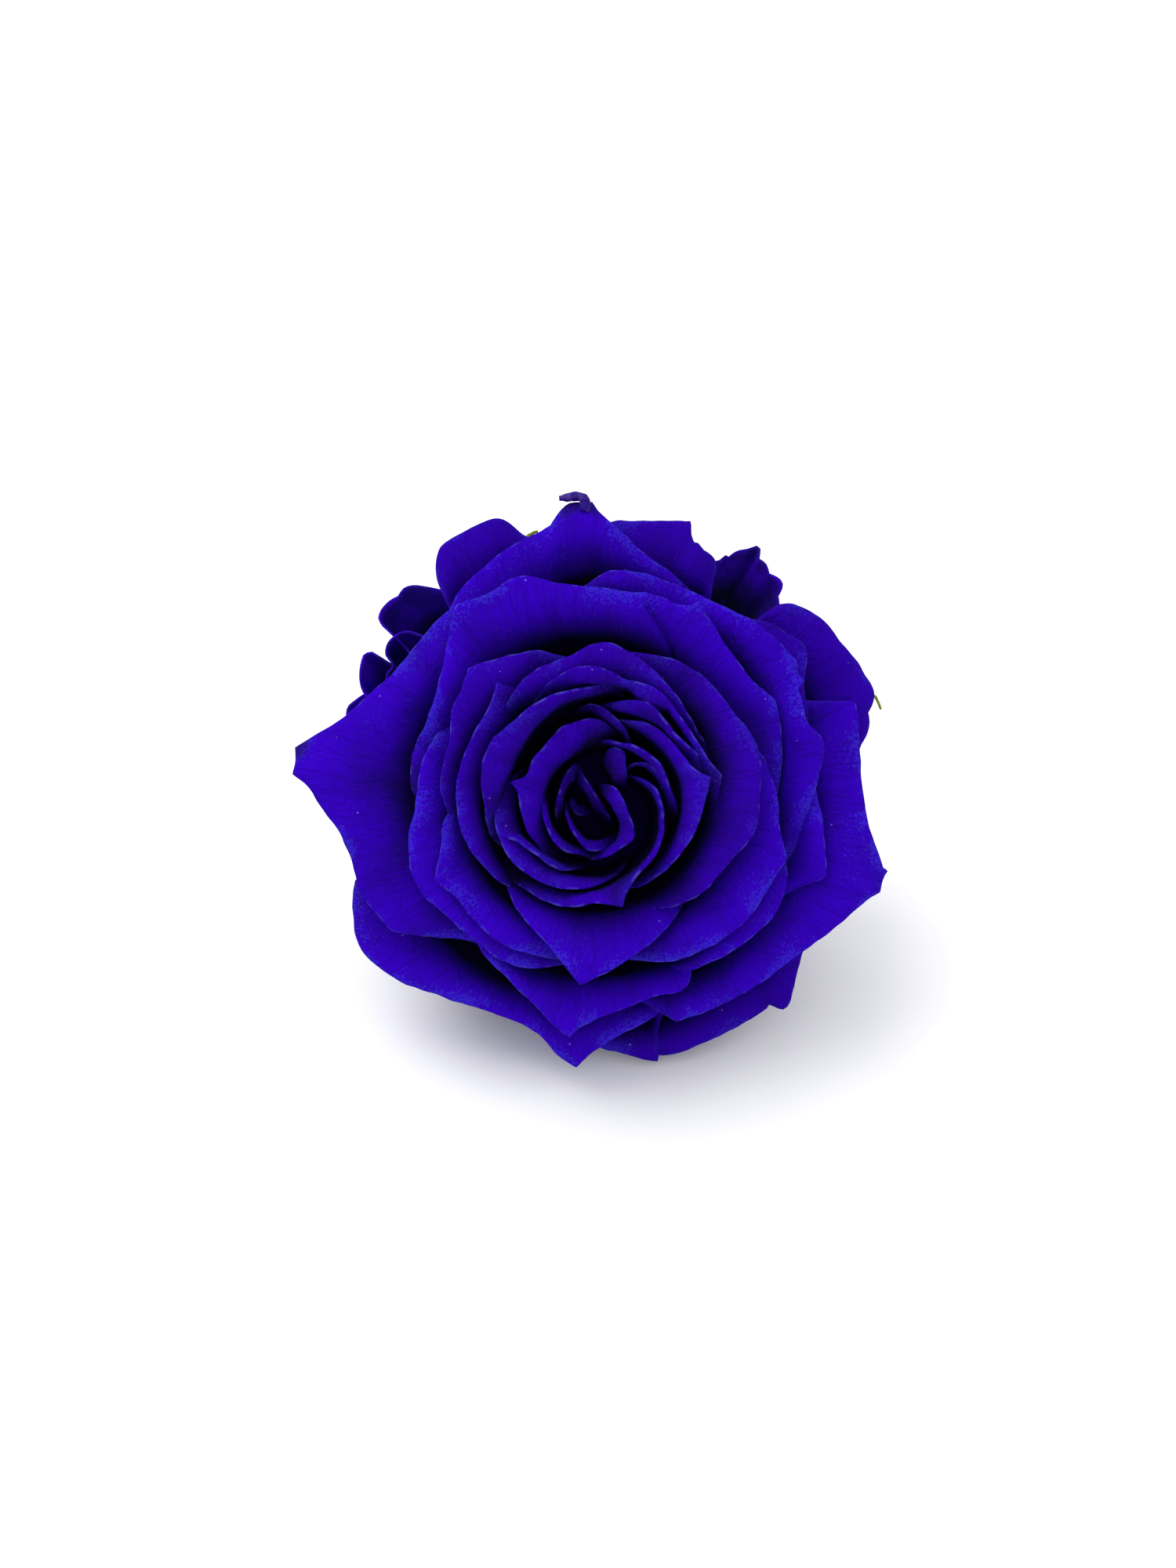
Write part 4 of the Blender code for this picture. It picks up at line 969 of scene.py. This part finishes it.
# Bark of a rose: thin and smooth, with fine lengthwise streaks about 0.4 mm apart and small pale
# pores. The dye turned its green nearly black. Its patterns are laid along the stem.
stem_bark, shader = new_material("dark_green_dyed_bark")
place = add_node(stem_bark, "TexCoord", {}, "Object")
on_stem = {"Location": Vector(EYE) * MM, "Rotation": (math.radians(90 - FACE_UP), 0, 0)}
grain_size = {**on_stem, "Vector": place, "Scale": (0.4 * MM, 0.4 * MM, 5 * MM)}
grain_place = add_node(stem_bark, "Mapping", grain_size, vector_type="TEXTURE")
grain = add_node(stem_bark, "TexNoise", {"Vector": grain_place, "Scale": 1, "Detail": 3})
streak = add_node(stem_bark, "MapRange", [grain, 0.38, 0.66])
tint = add_node(stem_bark, "Mix", {0: streak, 6: "#0e1626", 7: "#20342c"}, 2, data_type="RGBA")
pore_size = {**on_stem, "Vector": place, "Scale": (1.5 * MM, 1.5 * MM, 2.4 * MM)}
pore_place = add_node(stem_bark, "Mapping", pore_size, vector_type="TEXTURE")
pores = add_node(stem_bark, "TexVoronoi", {"Vector": pore_place, "Scale": 1})
pore = add_node(stem_bark, "MapRange", [pores, 0.08, 0.16, 0.6, 0])
pored = add_node(stem_bark, "Mix", {0: pore, 6: tint, 7: "#5c6444"}, 2, data_type="RGBA")
bump = add_node(stem_bark, "Bump", {"Strength": 0.6, "Distance": 0.12 * MM, "Height": grain})
feed(shader, {"Base Color": pored, "Normal": bump, "Roughness": 0.6, "Specular IOR Level": 0.2})

# The cut end: pale wood with rays that run out from soft pith, and a blue ring under the bark,
# where the dye was drawn up.
cut_wood, shader = new_material("pale_cut_rose_wood")
place = add_node(cut_wood, "TexCoord", {}, "Object")
wood_size = {**on_stem, "Vector": place, "Scale": (MM, MM, MM)}
wood_place = add_node(cut_wood, "Mapping", wood_size, vector_type="TEXTURE")
flat_place = add_node(cut_wood, "VectorMath", [wood_place, (1, 1, 0)], operation="MULTIPLY")
from_pith = add_node(cut_wood, "VectorMath", [flat_place], "Value", operation="LENGTH")
stem_share = add_node(cut_wood, "MapRange", [from_pith, 0, STEM_RADIUS])
rings = add_node(cut_wood, "ValToRGB", [stem_share])
bands = rings.node.color_ramp.elements
bands[0].position, bands[0].color = 0.24, linear("#b4ac84")
bands[1].position, bands[1].color = 0.34, linear("#8a8c5c")
for position, colour in ((0.7, "#74784c"), (0.8, "#22206c"), (0.9, "#141c34")):
    bands.new(position).color = linear(colour)
way = add_node(cut_wood, "VectorMath", [flat_place], operation="NORMALIZE")
rays = add_node(cut_wood, "TexNoise", {"Vector": way, "Scale": 9, "Detail": 3})
ray = add_node(cut_wood, "MapRange", [rays, 0.4, 0.65, 0, 0.4])
rayed = add_node(cut_wood, "Mix", {0: ray, 6: rings, 7: "#3c4230"}, 2, data_type="RGBA")
feed(shader, {"Base Color": rayed, "Roughness": 0.85, "Specular IOR Level": 0.15})

# The stem is as thick as the solid's 12 sides measure across their flats, and its length brings
# the edge of its cut end down to the surface.
STEM_TOP = -49.6
STEM_NECK = -51.4
STEM_NECK_RADIUS = 2.9
STEM_CORNERS = 12
STEM_FLAT = STEM_RADIUS * math.cos(math.pi / STEM_CORNERS)
STEM_END = (STEM_FLAT * math.cos(math.radians(FACE_UP)) - EYE[2]) / math.sin(math.radians(FACE_UP))
STEM_SIDES = 48
STEM_ROWS = 16
CUT_EDGE = 0.18
STEM_RIDGE = 0.09
RIDGES_ROUND = 2.4
RIDGE_LENGTH = 4
FACES_BACK = -0.9
stem_profile = [(0, STEM_TOP), (STEM_NECK_RADIUS, STEM_TOP)]
for i in range(STEM_ROWS + 1):
    depth = STEM_NECK + (STEM_END + CUT_EDGE - STEM_NECK) * i / STEM_ROWS
    stem_profile.append((STEM_FLAT, depth))
stem_profile += [(STEM_FLAT - CUT_EDGE, STEM_END), (0.5 * STEM_FLAT, STEM_END), (0, STEM_END)]
stem = turned_body(stem_profile, STEM_SIDES)
for face in stem.faces:
    face.material_index = int(face.normal.z < FACES_BACK)
for vert in stem.verts:
    turn = math.atan2(vert.co.y, vert.co.x)
    ridge = noise.noise(Vector((RIDGES_ROUND * math.cos(turn), RIDGES_ROUND * math.sin(turn),
                                vert.co.z / RIDGE_LENGTH)))
    vert.co.x *= 1 + STEM_RIDGE * ridge
    vert.co.y *= 1 + STEM_RIDGE * ridge
stub = piece_of("stem_stub", stem, stem_bark, "stem")
stub.data.materials.append(cut_wood)


# Floor, light and camera
# A pale matt floor in soft light from all round, as in a bright room, with a window above at the
# left. The camera looks straight down the bloom's axis.

FLOOR_SIZE = 4
floor_mesh = bmesh.new()
bmesh.ops.create_grid(floor_mesh, x_segments=1, y_segments=1, size=FLOOR_SIZE / 2)
floor_data = bpy.data.meshes.new("floor")
floor_mesh.to_mesh(floor_data)
floor_mesh.free()
floor = in_scene("floor", floor_data)
pale_floor, shader = new_material("pale_matt_floor")
feed(shader, {"Base Color": "#f7f7f9", "Roughness": 0.95, "Specular IOR Level": 0})
floor_data.materials.append(pale_floor)

ROOM_BRIGHTNESS = 1.14
WINDOW_SIZE = 0.7
WINDOW_WATTS = 4
WINDOW_PLACE = (-0.4, 0.1, 0.8)
world = bpy.data.worlds.new("bright_room")
world.use_nodes = True
background = world.node_tree.nodes["Background"]
background.inputs["Color"].default_value = linear("#fafafc")
background.inputs["Strength"].default_value = ROOM_BRIGHTNESS
bpy.context.scene.world = world

eye = Vector(EYE) * MM
lamp = bpy.data.lights.new("window", "AREA")
lamp.size = WINDOW_SIZE
lamp.energy = WINDOW_WATTS
window = in_scene("window", lamp)
window.location = WINDOW_PLACE
window.rotation_euler = (eye - Vector(WINDOW_PLACE)).to_track_quat("-Z", "Y").to_euler()

# In a picture of 1500 x 2000, the eye of the bloom is at (755, 1030).
LENS = 40
SENSOR = 36
NEAREST_SEEN = 0.01
PICTURE_HEIGHT = 2000
EYE_RIGHT_OF_MIDDLE = 5
EYE_BELOW_MIDDLE = 30
face = Vector((0, -math.cos(math.radians(FACE_UP)), math.sin(math.radians(FACE_UP))))
lens = bpy.data.cameras.new("camera")
lens.lens = LENS
lens.sensor_width = SENSOR
lens.clip_start = NEAREST_SEEN
camera = in_scene("camera", lens)
pixels_per_lens = LENS / SENSOR * PICTURE_HEIGHT
aim = (-face).to_track_quat("-Z", "Y").to_matrix()
aim @= Matrix.Rotation(math.atan(EYE_BELOW_MIDDLE / pixels_per_lens), 3, "X")
aim @= Matrix.Rotation(math.atan(EYE_RIGHT_OF_MIDDLE / pixels_per_lens), 3, "Y")
camera.location = eye + face * SIGHT_DISTANCE * MM
camera.rotation_euler = aim.to_euler()
bpy.context.scene.camera = camera
bpy.context.scene.view_settings.view_transform = "Standard"
